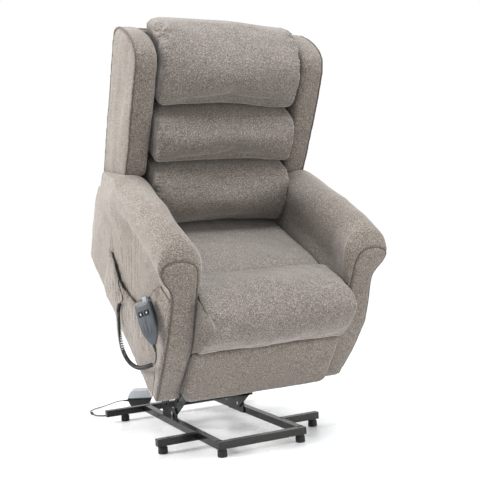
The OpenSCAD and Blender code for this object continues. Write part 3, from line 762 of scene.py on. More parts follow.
# ---------------------------------------------------------------- CAD nodes that stay: better finish and edges
EDGES = {
    "base_side_rails": 0.0022, "base_cross_bars": 0.0022, "base_outriggers": 0.0022, "tube_end_caps": 0.0012,
    "lift_brackets": 0.0008, "front_lift_links": 0.0008, "rear_lift_links": 0.0008, "lift_plates": 0.0008,
    "actuator_top_cheeks": 0.0006, "lift_cross_tubes": 0.0022, "seat_hinge_plates": 0.0006, "legrest_hinges": 0.0006,
    "legrest_crank": 0.0008, "legrest_coupler": 0.0008, "back_brackets": 0.0008, "arm_brackets": 0.0005,
    "seat_box_frame": 0.0015, "legrest_board": 0.0012, "back_frame": 0.0015, "arm_frames": 0.001,
    "actuator_motor_housing": 0.0025, "base_pivot_pins": 0.0008, "lift_upper_pins": 0.0008, "handset_clip": 0.0009,
    "handset_button_up": 0.0007, "handset_button_down": 0.0007, "power_supply_inlet": 0.0006, "base_feet": 0.0006,
}
slot_of = {s["node"]: s["material_slot"] for s in frame["record"]["subparts"]}
for node, obj in frame["nodes"].items():
    paint(obj, BY_SLOT[slot_of[node]])
    obj.data.polygons.foreach_set("material_index", [0] * len(obj.data.polygons))
    if node in EDGES:
        bevelled(obj, EDGES[node])
paint(frame["nodes"]["actuator_rod"], ROD)


# ---------------------------------------------------------------- back cushions
def rear(z):
    return 816 + 0.179 * (z - 397)


def pillow(outline, half, soft, inset, end_r, voxel, centre_pull=0.0):
    """A stuffed roll with that outline in (y, z), from -half to +half, as an even net."""
    out = rounded(outline, 150, soft)
    nrm = inward(out)
    out = out + nrm * inset
    nrm = inward(out)
    loops = []
    xs = []
    steps = 7
    for k in range(steps + 1):
        a = math.pi / 2 * k / steps
        xs.append((half - end_r + end_r * math.cos(a) - half, end_r * (1 - math.sin(a))))
    ends = [(x, off) for x, off in xs]
    for x, off in ends:
        loops.append((-half - x, off))
    for x in np.linspace(-half + end_r + 12, half - end_r - 12, 28):
        loops.append((x, 0.0))
    for x, off in reversed(ends):
        loops.append((half + x, off))
    made = []
    for x, off in loops:
        q = out + nrm * off
        made.append(np.column_stack([np.full(len(q), x), q]))
    v, f = loft(made)
    return remesh(v, f, voxel)


def spread(v, q, rounds):
    """Evens a value out between neighbours."""
    e = edges_of(q)
    count = np.maximum(np.bincount(e.ravel(), minlength=len(v)), 1)[:, None]
    for _ in range(rounds):
        t = np.zeros_like(v)
        np.add.at(t, e[:, 0], v[e[:, 1]])
        np.add.at(t, e[:, 1], v[e[:, 0]])
        v = 0.5 * v + 0.5 * t / count
    return v


def swell(p, f, pinned, target, allow, cap=26.0, pressure=4.0, grow=0.02, calm=14):
    """Cloth-simulated puff, scaled so that its usual size is target mm. allow limits it point by point."""
    q = quads(f)
    n = normals(p, q)
    moved = simulate(p, f, pinned, pressure=pressure, grow=grow, cap=60.0)
    out = (moved * n).sum(1)
    usual = np.percentile(out[~pinned], 65)
    if usual > 0.3:
        moved = moved * (target / usual)
    moved = spread(moved, q, calm)
    far = np.linalg.norm(moved, axis=1, keepdims=True)
    moved = moved * np.minimum(1.0, cap / np.maximum(far, 1e-9))
    return p + moved * allow[:, None]


def side_seam(outline, half, soft, inset, n=500):
    """The seam round a cushion's end."""
    o = rounded(outline, 150, soft)
    o = o + inward(o) * inset
    o = even(o, n, True)
    return np.column_stack([np.full(n, half), o])


LUMBAR = [(rear(330) - 100, 322), (545, 326), (520, 340), (507, 375), (503, 420), (508, 470), (522, 518), (544, 548), (590, 560), (rear(560) - 100, 560)]
MIDDLE = [(rear(560) - 100, 560), (596, 562), (572, 569), (559, 588), (555, 625), (561, 674), (582, 714), (620, 740), (664, 748), (rear(748) - 82, 748)]
HEAD = [(rear(750) - 80, 750), (660, 752), (639, 756), (626, 772), (620, 820), (624, 880), (642, 930), (676, 978), (722, 1006), (790, 1018),
        (846, 1008), (872, 980), (872, 952), (864, 946.5), (862, 934), (rear(925) - 63, 930)]


def back_cushion(name, node, outline, half, zlim, seed, shape=None):
    inset = 7.0
    p, f = pillow(outline, half - 3, 9.0, inset, 13.0, 6.5)
    behind = p[:, 1] - (rear(p[:, 2]) - 112)
    pinned = (behind > 0) | (np.abs(p[:, 0]) > half - 7)
    allow = 1 - 0.9 * step01((behind + 40) / 50)
    lo, hi = zlim
    allow = allow * (0.3 + 0.7 * step01((p[:, 2] - lo - 4) / 26)) * (0.3 + 0.7 * step01((hi - 4 - p[:, 2]) / 26))
    p = swell(p, f, pinned, inset + 1.5, allow, grow=0.012)
    p, f = finer(p, f)
    q = quads(f)
    p = relax(p, q, 2, 0.5)
    n = normals(p, q)
    front = step01((rear(p[:, 2]) - 128 - p[:, 1]) / 30)
    for s in (-1, 1):
        line = side_seam(outline, s * (half - 5), 9.0, 3.5)
        p = pucker(p, n, line, seed + s, spacing=13.0, length=19.0, depth=3.0, seam=(2.8, 2.8), only=front)
    # the lower edge is drawn up to the next cushion here and there
    n = normals(p, q)
    edge = outline[2]
    line = np.column_stack([np.linspace(-half, half, 700), np.full(700, float(edge[0])), np.full(700, float(edge[1]))])
    p = pucker(p, n, line, seed + 5, spacing=34.0, length=20.0, depth=1.5, seam=(3, 0.0), only=front)
    n = normals(p, q)
    p = p + n * (waves(p, seed, 240) * 1.5 * front)[:, None]
    ends = step01((np.abs(p[:, 0]) - (half - 95)) / 80)
    p = p + n * (waves(p * np.array([0.35, 1, 1]), seed + 9, 60, 2) * 0.9 * ends * front)[:, None]
    p[:, 2] = np.clip(p[:, 2], lo, hi)
    if shape:
        p = shape(p, q)
    p[:, 0] = np.clip(p[:, 0], -283, 283)
    o = make(name, from_chair(p), f, FABRIC_SEAT)
    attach(o, "back")
    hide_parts(node)
    return p, q


def head_shape(p, q):
    """The head cushion's two top corners are drawn together into folds and stand out over the wings, and it
    hangs a little lower on one side."""
    n = normals(p, q)
    for s in (-1, 1):
        c = np.array([s * 258.0, 742.0, 1004.0])
        d = p - c
        r = np.linalg.norm(d * np.array([1, 0.75, 1]), axis=1)
        ang = np.arctan2(d[:, 2], s * d[:, 0] + 1e-6)
        fold = np.exp(-(r / 44) ** 2)
        p = p + n * ((np.sin(ang * 9 + s) * 3.6 - 4.0 * np.exp(-(r / 12) ** 2)) * fold)[:, None]
    x, z = p[:, 0].copy(), p[:, 2].copy()
    high = step01((z - 962) / 26)
    p[:, 0] = x * (1 + np.where(x < 0, 0.012, 0.030) * high * (np.abs(x) > 200) * step01((np.abs(x) - 200) / 60))
    p[:, 2] -= 12.0 * step01((-x - 225) / 45) * high
    p[:, 0] -= 7.0 * step01((z - 800) / 170) * step01((x + 60) / 200)
    low = step01((800 - z) / 46)
    p[:, 0] -= np.sign(x) * 15.0 * low ** 2 * step01((np.abs(x) - 190) / 70)
    z = p[:, 2].copy()
    p[:, 2] = z - 15.0 * step01((x - 10) / 250) * step01((z - 900) / 90) - 9.0 * step01((x - 20) / 200) * step01((810 - z) / 60)
    return p


def end_corners(z0, z1, pull):
    """Rounds off a cushion's four corners as seen from the front."""
    def shape(p, q):
        x, z = p[:, 0], p[:, 2]
        far = np.maximum(step01((z0 + 34 - z) / 34), step01((z - z1 + 34) / 34))
        p[:, 0] = x - np.sign(x) * pull * far ** 2 * step01((np.abs(x) - 190) / 70)
        return p
    return shape


back_cushion("lumbar_roll", "lumbar_cushion", LUMBAR, 267, (318, 559.7), 11, end_corners(322, 560, 8))
back_cushion("middle_roll", "middle_cushion", MIDDLE, 269, (560.3, 748.4), 21, end_corners(560, 748, 12))
back_cushion("head_roll", "head_cushion", HEAD, 268, (749.2, 1030), 31, head_shape)


def back_top_roll():
    """The padded top rail that the head cushion hangs over."""
    out = [(842, 866), (840, 912), (846, 930), (858, 940), (872, 940.5), (886, 930), (895, 905), (898, 866)]
    p, f = pillow(out, 292, 6.0, 0.0, 5.0, 6.0)
    p = relax(p, quads(f), 2)
    o = make("back_top_roll", from_chair(p), f, FABRIC)
    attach(o, "back")


back_top_roll()


# ---------------------------------------------------------------- seat, knee and legrest
SEAT = [(186, 292), (600, 268), (652, 268), (652, 292), (640, 300), (548, 317), (380, 345), (262, 365), (214, 370.5), (188, 371)]
CHAISE = [(224, 291.5), (224, 361), (206, 371), (165, 391), (82, 413), (2, 417), (-25, 415), (-48, 407), (-62, 393), (-67, 371), (-67, 345),
          (-60, 298), (-44, 234), (-33, 221), (-5, 221), (-8, 300), (-12, 352), (34, 352), (72, 302)]


def seat_pad():
    inset = 5.0
    p, f = pillow(SEAT, 270, 7.0, inset, 12.0, 7.0)
    pinned = (p[:, 2] < 300 - 0.06 * (p[:, 1] - 214) - 8) | (p[:, 1] > 610) | (np.abs(p[:, 0]) > 264)
    allow = step01((p[:, 2] - (294 - 0.06 * (p[:, 1] - 214))) / 25)
    p = swell(p, f, pinned, inset + 1.0, allow, grow=0.015)
    p, f = finer(p, f)
    q = quads(f)
    p = relax(p, q, 2)
    n = normals(p, q)
    top = step01((n[:, 2] - 0.1) / 0.5)
    line = np.column_stack([np.linspace(-262, 262, 400), np.full(400, 219.0), np.full(400, 366.0)])
    p = pucker(p, n, line, 5, spacing=24.0, length=17.0, depth=1.5, seam=(4, 0.0))
    p = p + n * (waves(p, 3, 230) * 1.8 * top)[:, None]
    p[:, 1] = np.maximum(p[:, 1], 180)
    p[:, 0] = np.clip(p[:, 0], -275, 275)
    o = make("seat_pad", from_chair(p), f, FABRIC_SEAT)
    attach(o, "chair")
    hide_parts("seat_cushion")


def chaise():
    inset = 6.0
    p, f = pillow(CHAISE, 270, 8.0, inset, 8.5, 6.5)
    # inner faces stay put
    inner = ((p[:, 1] > -22 + 0.03 * (p[:, 2] - 221)) & (p[:, 2] < 356)) | ((p[:, 1] >= 30) & (p[:, 2] < 312))
    pinned = inner | (np.abs(p[:, 0]) > 264) | ((p[:, 2] < 231)) | (p[:, 1] > 216)
    allow = np.where(inner, 0.1, 1.0)
    allow = allow * (0.35 + 0.65 * step01((p[:, 2] - 226) / 30))
    p = swell(p, f, pinned, inset + 1.5, allow, grow=0.02)
    p, f = finer(p, f)
    q = quads(f)
    p = relax(p, q, 2)
    n = normals(p, q)
    # side seam between the top cover and the end panel: pulled in, with small puckers
    out = rounded(CHAISE, 150, 10.0)
    out = out + inward(out) * 1.0
    out = even(out, 500, True)
    keep = (out[:, 1] > 225) & ((out[:, 0] < -14) | (out[:, 1] > 366))
    for s in (-1, 1):
        line = np.column_stack([np.full(keep.sum(), s * 266.0), out[keep]])
        only = step01((p[:, 2] - 222) / 10)
        p = pucker(p, n, line, 41 + s, spacing=9.0, length=15.0, depth=1.7, seam=(2.8, 2.4), only=only)
    # cross seam behind, hem at the bottom
    line = np.column_stack([np.linspace(-262, 262, 400), np.full(400, 209.0), np.full(400, 369.0)])
    p = pucker(p, n, line, 6, spacing=22.0, length=16.0, depth=1.2, seam=(4, 0.0))
    line = np.column_stack([np.linspace(-264, 264, 400), np.full(400, -36.0), np.full(400, 224.0)])
    p = pucker(p, n, line, 7, spacing=30.0, length=22.0, depth=0.9, seam=(4, 0.0))
    # the ends are drawn in at the bend
    pull = bend_pull(p[:, 1], p[:, 2]) * step01((np.abs(p[:, 0]) - 190) / 70)
    p[:, 0] -= np.where(p[:, 0] < 0, -pull, 0.12 * pull)
    front = step01((-20 - p[:, 1]) / 20)
    p = p + n * (waves(p, 13, 210) * (1.6 + 0.8 * front))[:, None]
    p[:, 0] = np.clip(p[:, 0], -275, 275)
    o = make("chaise_and_legrest_pad", from_chair(p), f, FABRIC_SEAT)
    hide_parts("chaise_pad", "knee_pad", "legrest_pad")
    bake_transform(o)


def seat_front_core():
    """The padded front of the seat box, under the chaise pad."""
    out = [(4, 299), (4, 340), (14, 349), (32, 349), (68, 302), (66, 298.5)]
    p, f = pillow(out, 256, 5.0, 0.0, 6.0, 6.0)
    p = relax(p, quads(f), 2)
    o = make("seat_front_roll", from_chair(p), f, FABRIC)
    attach(o, "chair")


def bend_pull(y, z):
    """How far the ends of the pad are drawn in at the bend of the knee, in mm."""
    return 27.0 * np.exp(-(((y + 60) ** 2 + (z - 342) ** 2) / 50.0 ** 2)) * step01((-16 - y) / 26)


def end_gussets():
    """The cloth that closes the ends of the chaise pad, drawn in at the bend."""
    out = [(70, 380), (72, 300), (60, 262), (44, 228), (24, 204), (4, 200), (-8, 214), (-26, 232), (-36, 246), (-50, 300), (-54, 345), (-50, 380),
           (-30, 395), (2, 400), (40, 398)]
    o2 = rounded(out, 150, 6.0)
    c = o2.mean(0)
    for s, side in ((-1, "left"), (1, "right")):
        loops = []
        for x, k in ((274.0, 0.2), (274.0, 0.45), (274.0, 0.7), (274.0, 0.88), (274.1, 0.97), (274.5, 1.0), (275.4, 0.99), (275.8, 0.97), (276.0, 0.88), (276.0, 0.7),
                     (276.0, 0.45), (276.0, 0.2)):
            q2 = c + (o2 - c) * k
            loops.append(np.column_stack([np.full(len(q2), x), q2]))
        v, f = loft(loops)
        v[:, 0] -= bend_pull(v[:, 1], v[:, 2]) * (1.0 if s < 0 else 0.12) + 6.5 * step01((-18 - v[:, 1]) / 26)
        v[:, 0] += waves(v, 23, 44) * 0.5
        v[:, 0] *= s
        o = make(f"{side}_end_gusset", from_chair(v), f, FABRIC)
        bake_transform(o)


def rounded_plate(x0, z0, z1, r, steps=10):
    """A plate's outline in (x, z) with its two lower corners rounded."""
    pts = [(x0, z1)]
    for k in range(steps + 1):
        a = math.pi / 2 * k / steps
        pts.append((x0 - r + r * math.cos(a), z0 + r - r * math.sin(a)))
    for k in range(steps + 1):
        a = math.pi / 2 * k / steps
        pts.append((-x0 + r - r * math.sin(a), z0 + r - r * math.cos(a)))
    pts.append((-x0, z1))
    return pts


def legrest_board():
    out = rounded_plate(268.0, 8, 190, 26)
    out = out[:-1] + [(-268.0, 190), (-262.0, 190), (-262.0, 288), (262.0, 288), (262.0, 190)]
    loops = []
    for y in (-1.8, 16):
        loops.append(np.array([(x, y, z) for x, z in out]))
    v, f = loft(loops)
    o = make("legrest_plywood", from_chair(v), f, PLY, smooth=False)
    bevelled(o, 0.0012)
    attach(o, "legrest")
    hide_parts("legrest_board")


def legrest_lugs():
    """The steel plates behind the legrest's board, with the pins that the couplers turn on."""
    outline = rounded([(16.3, 110), (16.3, 236), (78, 192), (92, 180), (92, 164), (80, 154)], 150, 4.0)
    foot = rounded([(200, 114), (200, 232), (219, 232), (219, 114)], 90, 4.0)
    a = np.linspace(0, 2 * np.pi, 40, endpoint=False)
    ring = np.stack([np.cos(a), np.sin(a)], 1)
    v_all, f_all = [], []
    for s in (-1, 1):
        plate = [np.column_stack([np.full(len(outline), s * x), outline]) for x in (216.0, 221.0)]
        flange = [np.column_stack([foot[:, 0] * s, np.full(len(foot), y), foot[:, 1]]) for y in (16.3, 19.3)]
        pin = [np.column_stack([np.full(40, s * x), np.array([73.0, 174.0]) + ring * r])
               for x, r in ((219.0, 5.0), (228.4, 5.0), (228.4, 7.4), (229.9, 7.4), (230.5, 6.6))]
        for loops in (plate, flange, pin):
            v, f = loft(loops)
            k = sum(len(w) for w in v_all)
            v_all.append(v)
            f_all += [tuple(i + k for i in q) for q in f]
    o = make("legrest_lugs", from_chair(np.vstack(v_all)), f_all, STEEL, smooth=False)
    bevelled(o, 0.0006)
    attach(o, "legrest")
    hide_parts("legrest_board")


def legrest_panel():
    """The stuffed cover of the legrest's board, with its rounded lower corners, and the strip of it that goes
    round the board's edges and is stapled behind."""
    edge = rounded(rounded_plate(275.0, 2.5, 219, 30), 420, 3.0)
    nrm = inward(edge)
    loops = []
    for y, off in ((-2.3, 30), (-2.3, 12), (-2.4, 2), (-3.2, 0.4), (-6, 0), (-14, 0), (-19, 0.8), (-23, 3.0), (-25.8, 6.6), (-27.4, 12), (-28, 20), (-28, 40)):
        o = edge + nrm * off
        loops.append(np.column_stack([o[:, 0], np.full(len(o), y), o[:, 1]]))
    v, f = loft(loops)
    p, f = remesh(v, f, 5.5)
    q = quads(f)
    p = relax(p, q, 3)
    face = step01((-8 - p[:, 1]) / 10)
    crown = (1 - np.clip(np.abs(p[:, 0]) / 275, 0, 1) ** 4) * (1 - np.clip(np.abs(p[:, 2] - 110) / 112, 0, 1) ** 4)
    p[:, 1] -= (waves(p, 17, 190) * 0.9 + 2.6 * crown) * face
    o = make("legrest_lower_panel", from_chair(p), f, FABRIC)
    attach(o, "legrest")
    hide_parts("legrest_panel")
    # the turned edge: a band round the board, left open along the top
    low = edge[:, 1] < 192
    start = int(np.flatnonzero(~low & np.roll(low, -1))[0]) + 1
    band = np.roll(edge, -start, axis=0)[:low.sum()]
    bn = np.roll(nrm, -start, axis=0)[:low.sum()]
    r = np.random.default_rng(4)
    ring = []
    for y, off in ((-4, 1.0), (4, 0.4), (12, 0.3), (16.5, 0.7), (18.6, 2.4), (19.4, 6), (19.4, 16), (19.2, 25), (18.2, 27), (16.6, 25), (16.5, 8), (16.3, 4.2), (15, 3.4), (4, 3.4), (-4, 3.4)):
        wob = 1.4 * np.interp(np.arange(len(band)), np.arange(0, len(band) + 9, 9), r.normal(size=len(np.arange(0, len(band) + 9, 9)))) if off > 20 else 0.0
        o2 = band + bn * (off + wob)[:, None] if off > 20 else band + bn * off
        ring.append(np.column_stack([o2[:, 0], np.full(len(band), y), o2[:, 1]]))
    ring = np.array(ring)
    k, m = ring.shape[0], ring.shape[1]
    pts = ring.transpose(1, 0, 2).reshape(-1, 3)
    faces = grid(None, k, m, wrap=True)
    faces.append(tuple(range(k - 1, -1, -1)))
    faces.append(tuple((m - 1) * k + i for i in range(k)))
    o = make("legrest_turned_edge", from_chair(pts), faces, FABRIC)
    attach(o, "legrest")


seat_pad()
chaise()
seat_front_core()
end_gussets()
legrest_board()
legrest_lugs()
legrest_panel()


# ---------------------------------------------------------------- arms
SECTION = [(277, -13), (277, 120), (277, 240), (277, 330), (277, 390), (270, 430), (263, 470), (262, 505), (270, 537), (291, 563), (320, 577), (345, 580),
           (374, 574), (397, 560), (411, 538), (416, 512), (411, 488), (397, 466), (380, 446), (371, 424), (370, 400), (373, 340),
           (377, 262), (375, 200), (371, 130), (361, -13)]
PANEL_OF = {
    -1: [(276, -11), (277, 120), (274, 240), (276, 300), (279, 350), (281, 395), (282, 430), (283, 465), (285, 497), (296, 517), (318, 529), (345, 532),
         (372, 530), (392, 523), (404, 510), (407, 490), (400, 468), (384, 450), (371, 434), (364, 416), (361, 396), (362, 340),
         (365, 262), (363, 200), (360, 130), (353.5, -11)],
    1: [(279, -9), (278, 120), (274, 240), (276, 300), (282, 350), (287, 400), (289, 430), (291, 465), (295, 496), (305, 515), (324, 527), (350, 531),
        (377, 529), (399, 522), (412, 510), (415, 496), (409, 480), (391, 461), (376, 446), (369, 431), (369, 408), (374, 340),
        (380, 262), (376, 200), (372, 130), (358.5, -9)],
}


def matched(a, per):
    """Both outlines sampled alike, segment by segment, the last one along the bottom."""
    a = np.array(a, float)
    b = np.roll(a, -1, axis=0)
    out = []
    for k, n in enumerate(per):
        t = np.arange(n)[:, None] / n
        out.append(a[k] * (1 - t) + b[k] * t)
    return np.vstack(out)


PER = [max(2, int(np.linalg.norm(np.subtract(SECTION[(k + 1) % len(SECTION)], SECTION[k])) / 7)) for k in range(len(SECTION))]


def soften(p, k):
    w = np.hanning(2 * k + 3)[1:-1]
    w /= w.sum()
    return sum(wi * np.roll(p, i - k, axis=0) for i, wi in enumerate(w))


def arm_front_y(z):
    return np.interp(z, [0, 120, 254, 400, 520, 545, 580], [11.5, 2, -2.5, 30, 59.5, 70, 84])


def arm_rear_y(z):
    return np.interp(z, [0, 110, 210, 309, 386, 576], [858, 892, 904, 876, 836, 836])


def arm_top(y):
    return np.interp(y, [60, 130, 200, 326, 465, 600, 700, 831, 900], [575, 579, 580, 566, 538, 514, 462, 393, 357])


def arm_net(side):
    sec = soften(matched(SECTION, PER), 2)
    pan = soften(matched(PANEL_OF[side], PER), 2)
    loops = []

    def placed(out, y):
        x, z0 = out[:, 0], out[:, 1]
        z = np.where(z0 > 300, 300 + (z0 - 300) * (arm_top(y) - 300) / 276.0, z0)
        # the inner side stands out over the seat, most at the front and beside the back cushions
        w = np.clip((330 - x) / 60, 0, 1) * step01((z0 - 340) / 70)
        x = x + w * np.interp(y, [40, 90, 150, 200, 260, 326, 400, 465, 520, 600, 700], [-6, 4, 16, 23, 21, 16, 8, 3, 1, 0, 4])
        x = np.maximum(x, np.where(y > 490, 265.5, 255))
        limit = 424 - 78 * np.maximum(y - 470, 0) / 450
        full = 373 + 40 * step01((z0 - 262) / 250)
        outer = (x > 350) & (z0 > 200) & (z0 < 520)
        fade = step01((y - 400) / 150)
        x = np.where(outer & (x < full), x + (full - x) * fade, x)
        x = np.minimum(x, limit) - 0.25 * np.maximum(0, 8 - np.abs(x - limit))
        return np.column_stack([x, y, z])

    # the front panel, domed a little, out to its seam
    mid = np.column_stack([np.full(len(pan), 322.0), np.clip(pan[:, 1], 30, 500)])
    for k in (0.75, 0.5, 0.25, 0.1, 0.0):
        o = pan * (1 - k) + mid * k
        loops.append(np.column_stack([o[:, 0], arm_front_y(o[:, 1]) - 5.0 * (1 - (1 - k) ** 4), o[:, 1]]))
    # the rounding from the seam to the full section
    ease = 36 * (0.26 + 0.74 * step01((sec[:, 1] - 380) / 120)) * (1 - 0.62 * step01((sec[:, 0] - 360) / 40))
    for a in np.linspace(8, 90, 8):
        a = math.radians(a)
        o = pan + (sec - pan) * math.sin(a)
        depth = ease * (1 - math.cos(a))
        y = arm_front_y(o[:, 1]) + depth
        loops.append(np.column_stack([o[:, 0], y, o[:, 1]]))
    depth = ease
    y0 = arm_front_y(sec[:, 1]) + depth
    yr = arm_rear_y(sec[:, 1])
    ts = np.linspace(0.02, 1, 52)
    for t in ts:
        y = y0 + (yr - 26 - y0) * t
        loops.append(placed(sec, y))
    nrm = inward(sec)
    for a in (25, 50, 70, 90):
        a = math.radians(a)
        o = sec + nrm * 26 * (1 - math.cos(a))
        y = yr - 26 + 26 * math.sin(a)
        loops.append(placed(o, y))
    v, f = loft(loops)
    v[:, 0] *= side
    return remesh(v, f, 7.0)


def panel_seam(side, n=700):
    pan = even(soften(matched(PANEL_OF[side], PER), 2), n, True)
    return np.column_stack([side * pan[:, 0], arm_front_y(pan[:, 1]), pan[:, 1]])


POCKET_RIM = [(600, 168), (560, 214), (493, 206), (433, 186), (323, 199), (252, 224), (196, 282), (165, 310), (150, 324), (138, 350), (125, 388), (116, 402), (40, 408)]


def rim_z(y):
    r = np.array(sorted(POCKET_RIM))
    return np.interp(y, r[:, 0], r[:, 1])


def arm(side, name, nodes, seed):
    p, f = arm_net(side)
    p, f = finer(p, f)
    q = quads(f)
    p = relax(p, q, 4)
    n = normals(p, q)
    seam = panel_seam(side)
    up = seam[:, 2] > -6
    p = groove(p, n, seam[up], 4.2, 3.2)
    x = np.abs(p[:, 0])
    # soft unevenness, more on the roll
    roll = step01((p[:, 2] - 380) / 80)
    p = p + n * (waves(p, seed, 230) * (0.9 + 0.2 * roll))[:, None]
    # gathers where the cloth turns under the roll at the front, and by the back
    line = even(np.array([[side * 369, 60, 430], [side * 369, 100, 424], [side * 370, 170, 420]]), 200)
    p = pucker(p, n, line, seed + 3, spacing=16.0, length=18.0, depth=1.6, seam=(4, 1.6))
    line = even(np.array([[side * 300, 596, 505], [side * 350, 598, 508], [side * 372, 604, 495]]), 200)
    p = pucker(p, n, line, seed + 4, spacing=18.0, length=30.0, depth=2.0, seam=(4, 0.5))
    if side < 0:
        # upright gathers between the roll and the pocket's opening
        y, z = p[:, 1], p[:, 2]
        out = step01((x - 352) / 12)
        where = out * step01((y - 250) / 160) * np.clip(0.7 + 0.5 * waves(p, 68, 150), 0.1, 1.1) * (1 - step01((y - 585) / 30)) * step01((z - rim_z(y) + 40) / 40) * (1 - step01((z - 415) / 40))
        s = y * 0.84 - z * 0.54 + waves(p, 66, 160) * 7 + 400
        crest, power, _ = ridges(s, 27.0, 77, 1.0)
        fine, power2, _ = ridges(s + 31, 11.0, 78, 1.0)
        p = p + n * (where * (4.4 * (crest * power - 0.35) + 1.3 * (fine * power2 - 0.3) * step01((y - 380) / 120)))[:, None]
        # the upright seam at the back end of the pocket
        line = even(np.array([[side * 372, 598, 165], [side * 378, 596, 260], [side * 388, 590, 340], [side * 396, 570, 400]]), 300)
        p = groove(p, n, line, 4.0, 3.4)
    o = make(name, from_chair(p), f, FABRIC)
    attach(o, "chair")
    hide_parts(*nodes)
    n = normals(p, q)
    # the piping on the panel seam, in the cloth darkened with painted shade
    line = smooth_line(hug(seam[up], p, n, 0.8), 6)
    v, tf = tube(line, 2.7, 8)
    w = make(name + "_piping", from_chair(v), tf, PIPING_PAINTED_SHADE)
    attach(w, "chair")
    return p, q


arm(-1, "left_arm_cover", ("left_arm", "left_arm_panel"), 61)
arm(1, "right_arm_cover", ("right_arm", "right_arm_panel"), 71)


# ---------------------------------------------------------------- side pocket
def pocket():
    """A slack pocket of the same cloth, gathered on elastic along its slanted opening."""
    nu, nv = 230, 84
    ys = np.linspace(37, 611, nu)
    pts_out, pts_in = [], []
    r = np.random.default_rng(5)
    for j in range(nv):
        t = j / (nv - 1)
        zb = np.interp(ys, [37, 80, 560, 611], [1, 0, 2, 52])
        z = zb + (rim_z(ys) - zb) * t
        x = np.interp(z, [0, 60, 140, 480], [368, 385, 392, 392])
        plan = np.interp(ys, [36, 80, 120, 470, 560, 612], [374, 386, 392, 392, 384, 371.5])
        x = np.minimum(x, plan)
        side = np.interp(z, [0, 130, 200, 262, 340, 400, 430], [361, 371, 375, 377, 373, 370, 371])
        off = np.interp(ys, [36, 50, 80, 130, 200, 260], [1.2, 4, 10, 17, 24, 60])
        off = np.minimum(off, 60 - 56 * step01((z - 330) / 60) * (1 - step01((ys - 128) / 24)))
        x = np.minimum(x, side + np.minimum(off, np.where(z > 330, 14, 60)))
        flat = np.stack([-x, ys, z], 1)
        s = ys * 0.84 - z * 0.54 + waves(flat, 67, 170) * 7 + 400
        crest, power, long = ridges(s, 30.0, 91, 1.0)
        crest2, power2, _ = ridges(s + 17, 10.0, 92, 1.0)
        high = step01((t - 0.15) / 0.7)
        ends = step01((ys - 40) / 60) * (1 - step01((ys - 560) / 50))
        slit = step01((ys - 118) / 40)
        fold = (5.2 * (crest * power - 0.35) * (0.25 + 0.75 * high) * np.clip(0.6 + 0.5 * waves(flat, 69, 200), 0.1, 1.0) + 2.6 * (crest2 * power2 - 0.3) * np.exp(-((1 - t) / 0.14) ** 2) * slit) * ends
        sag = 2.0 * np.sin(np.pi * t) * ends + waves(flat, 15, 150) * 1.6 * ends
        tuck = -4.0 * np.exp(-((1 - t) / 0.035) ** 2) * slit
        out = flat.copy()
        out[:, 0] -= fold + sag + tuck
        out[:, 2] += (np.exp(-((1 - t) / 0.05) ** 2) * (crest2 * power2 - 0.4) * 2.6) * ends * slit
        pts_out.append(out)
        inner = out.copy()
        inner[:, 0] += 3.2
        pts_in.append(inner)
    a = np.vstack(pts_out)
    b = np.vstack(pts_in)
    # the rim is rounded by a bead of hem between the two skins
    faces = grid(None, nu, nv)
    k = len(a)
    faces += [(q[3] + k, q[2] + k, q[1] + k, q[0] + k) for q in grid(None, nu, nv)]
    for i in range(nu - 1):
        faces.append((i + 1, i, i + k, i + 1 + k))
        t0 = (nv - 1) * nu
        faces.append((t0 + i, t0 + i + 1, t0 + i + 1 + k, t0 + i + k))
    for j in range(nv - 1):
        faces.append((j * nu, (j + 1) * nu, (j + 1) * nu + k, j * nu + k))
        e = j * nu + nu - 1
        faces.append(((j + 1) * nu + nu - 1, e, e + k, (j + 1) * nu + nu - 1 + k))
    o = make("side_pocket_cloth", from_chair(np.vstack([a, b])), faces, FABRIC)
    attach(o, "chair")
    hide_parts("side_pocket")
    # the elastic binding along the opening, in the piping cloth whose colour is darkened with painted shade
    rim = pts_out[-1].copy()
    rim[:, 0] += 1.4
    use = (rim[:, 1] > 118) & (rim[:, 1] < 600)
    line = even(rim[use], 420)
    s = np.concatenate([[0], np.cumsum(np.linalg.norm(np.diff(line, axis=0), axis=1))])
    crest, power, _ = ridges(s, 8.0, 93, 1.0)
    v, tf = tube(line, 2.6, 8, taper=0.75 + 0.5 * crest * power)
    w = make("side_pocket_elastic", from_chair(v), tf, PIPING_PAINTED_SHADE)
    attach(w, "chair")


pocket()


# ---------------------------------------------------------------- wings and rear cover
WING = [(598.5, 509), (607, 600), (619, 690), (633, 780), (647, 860), (655, 905), (673, 938), (712, 957), (760, 962), (810, 960),
        (852, 953), (874, 945), (rear(905) - 10, 922), (rear(900) - 3, 902), (rear(880) - 0.4, 880), (rear(640) - 0.4, 640), (rear(394) - 0.4, 393)]


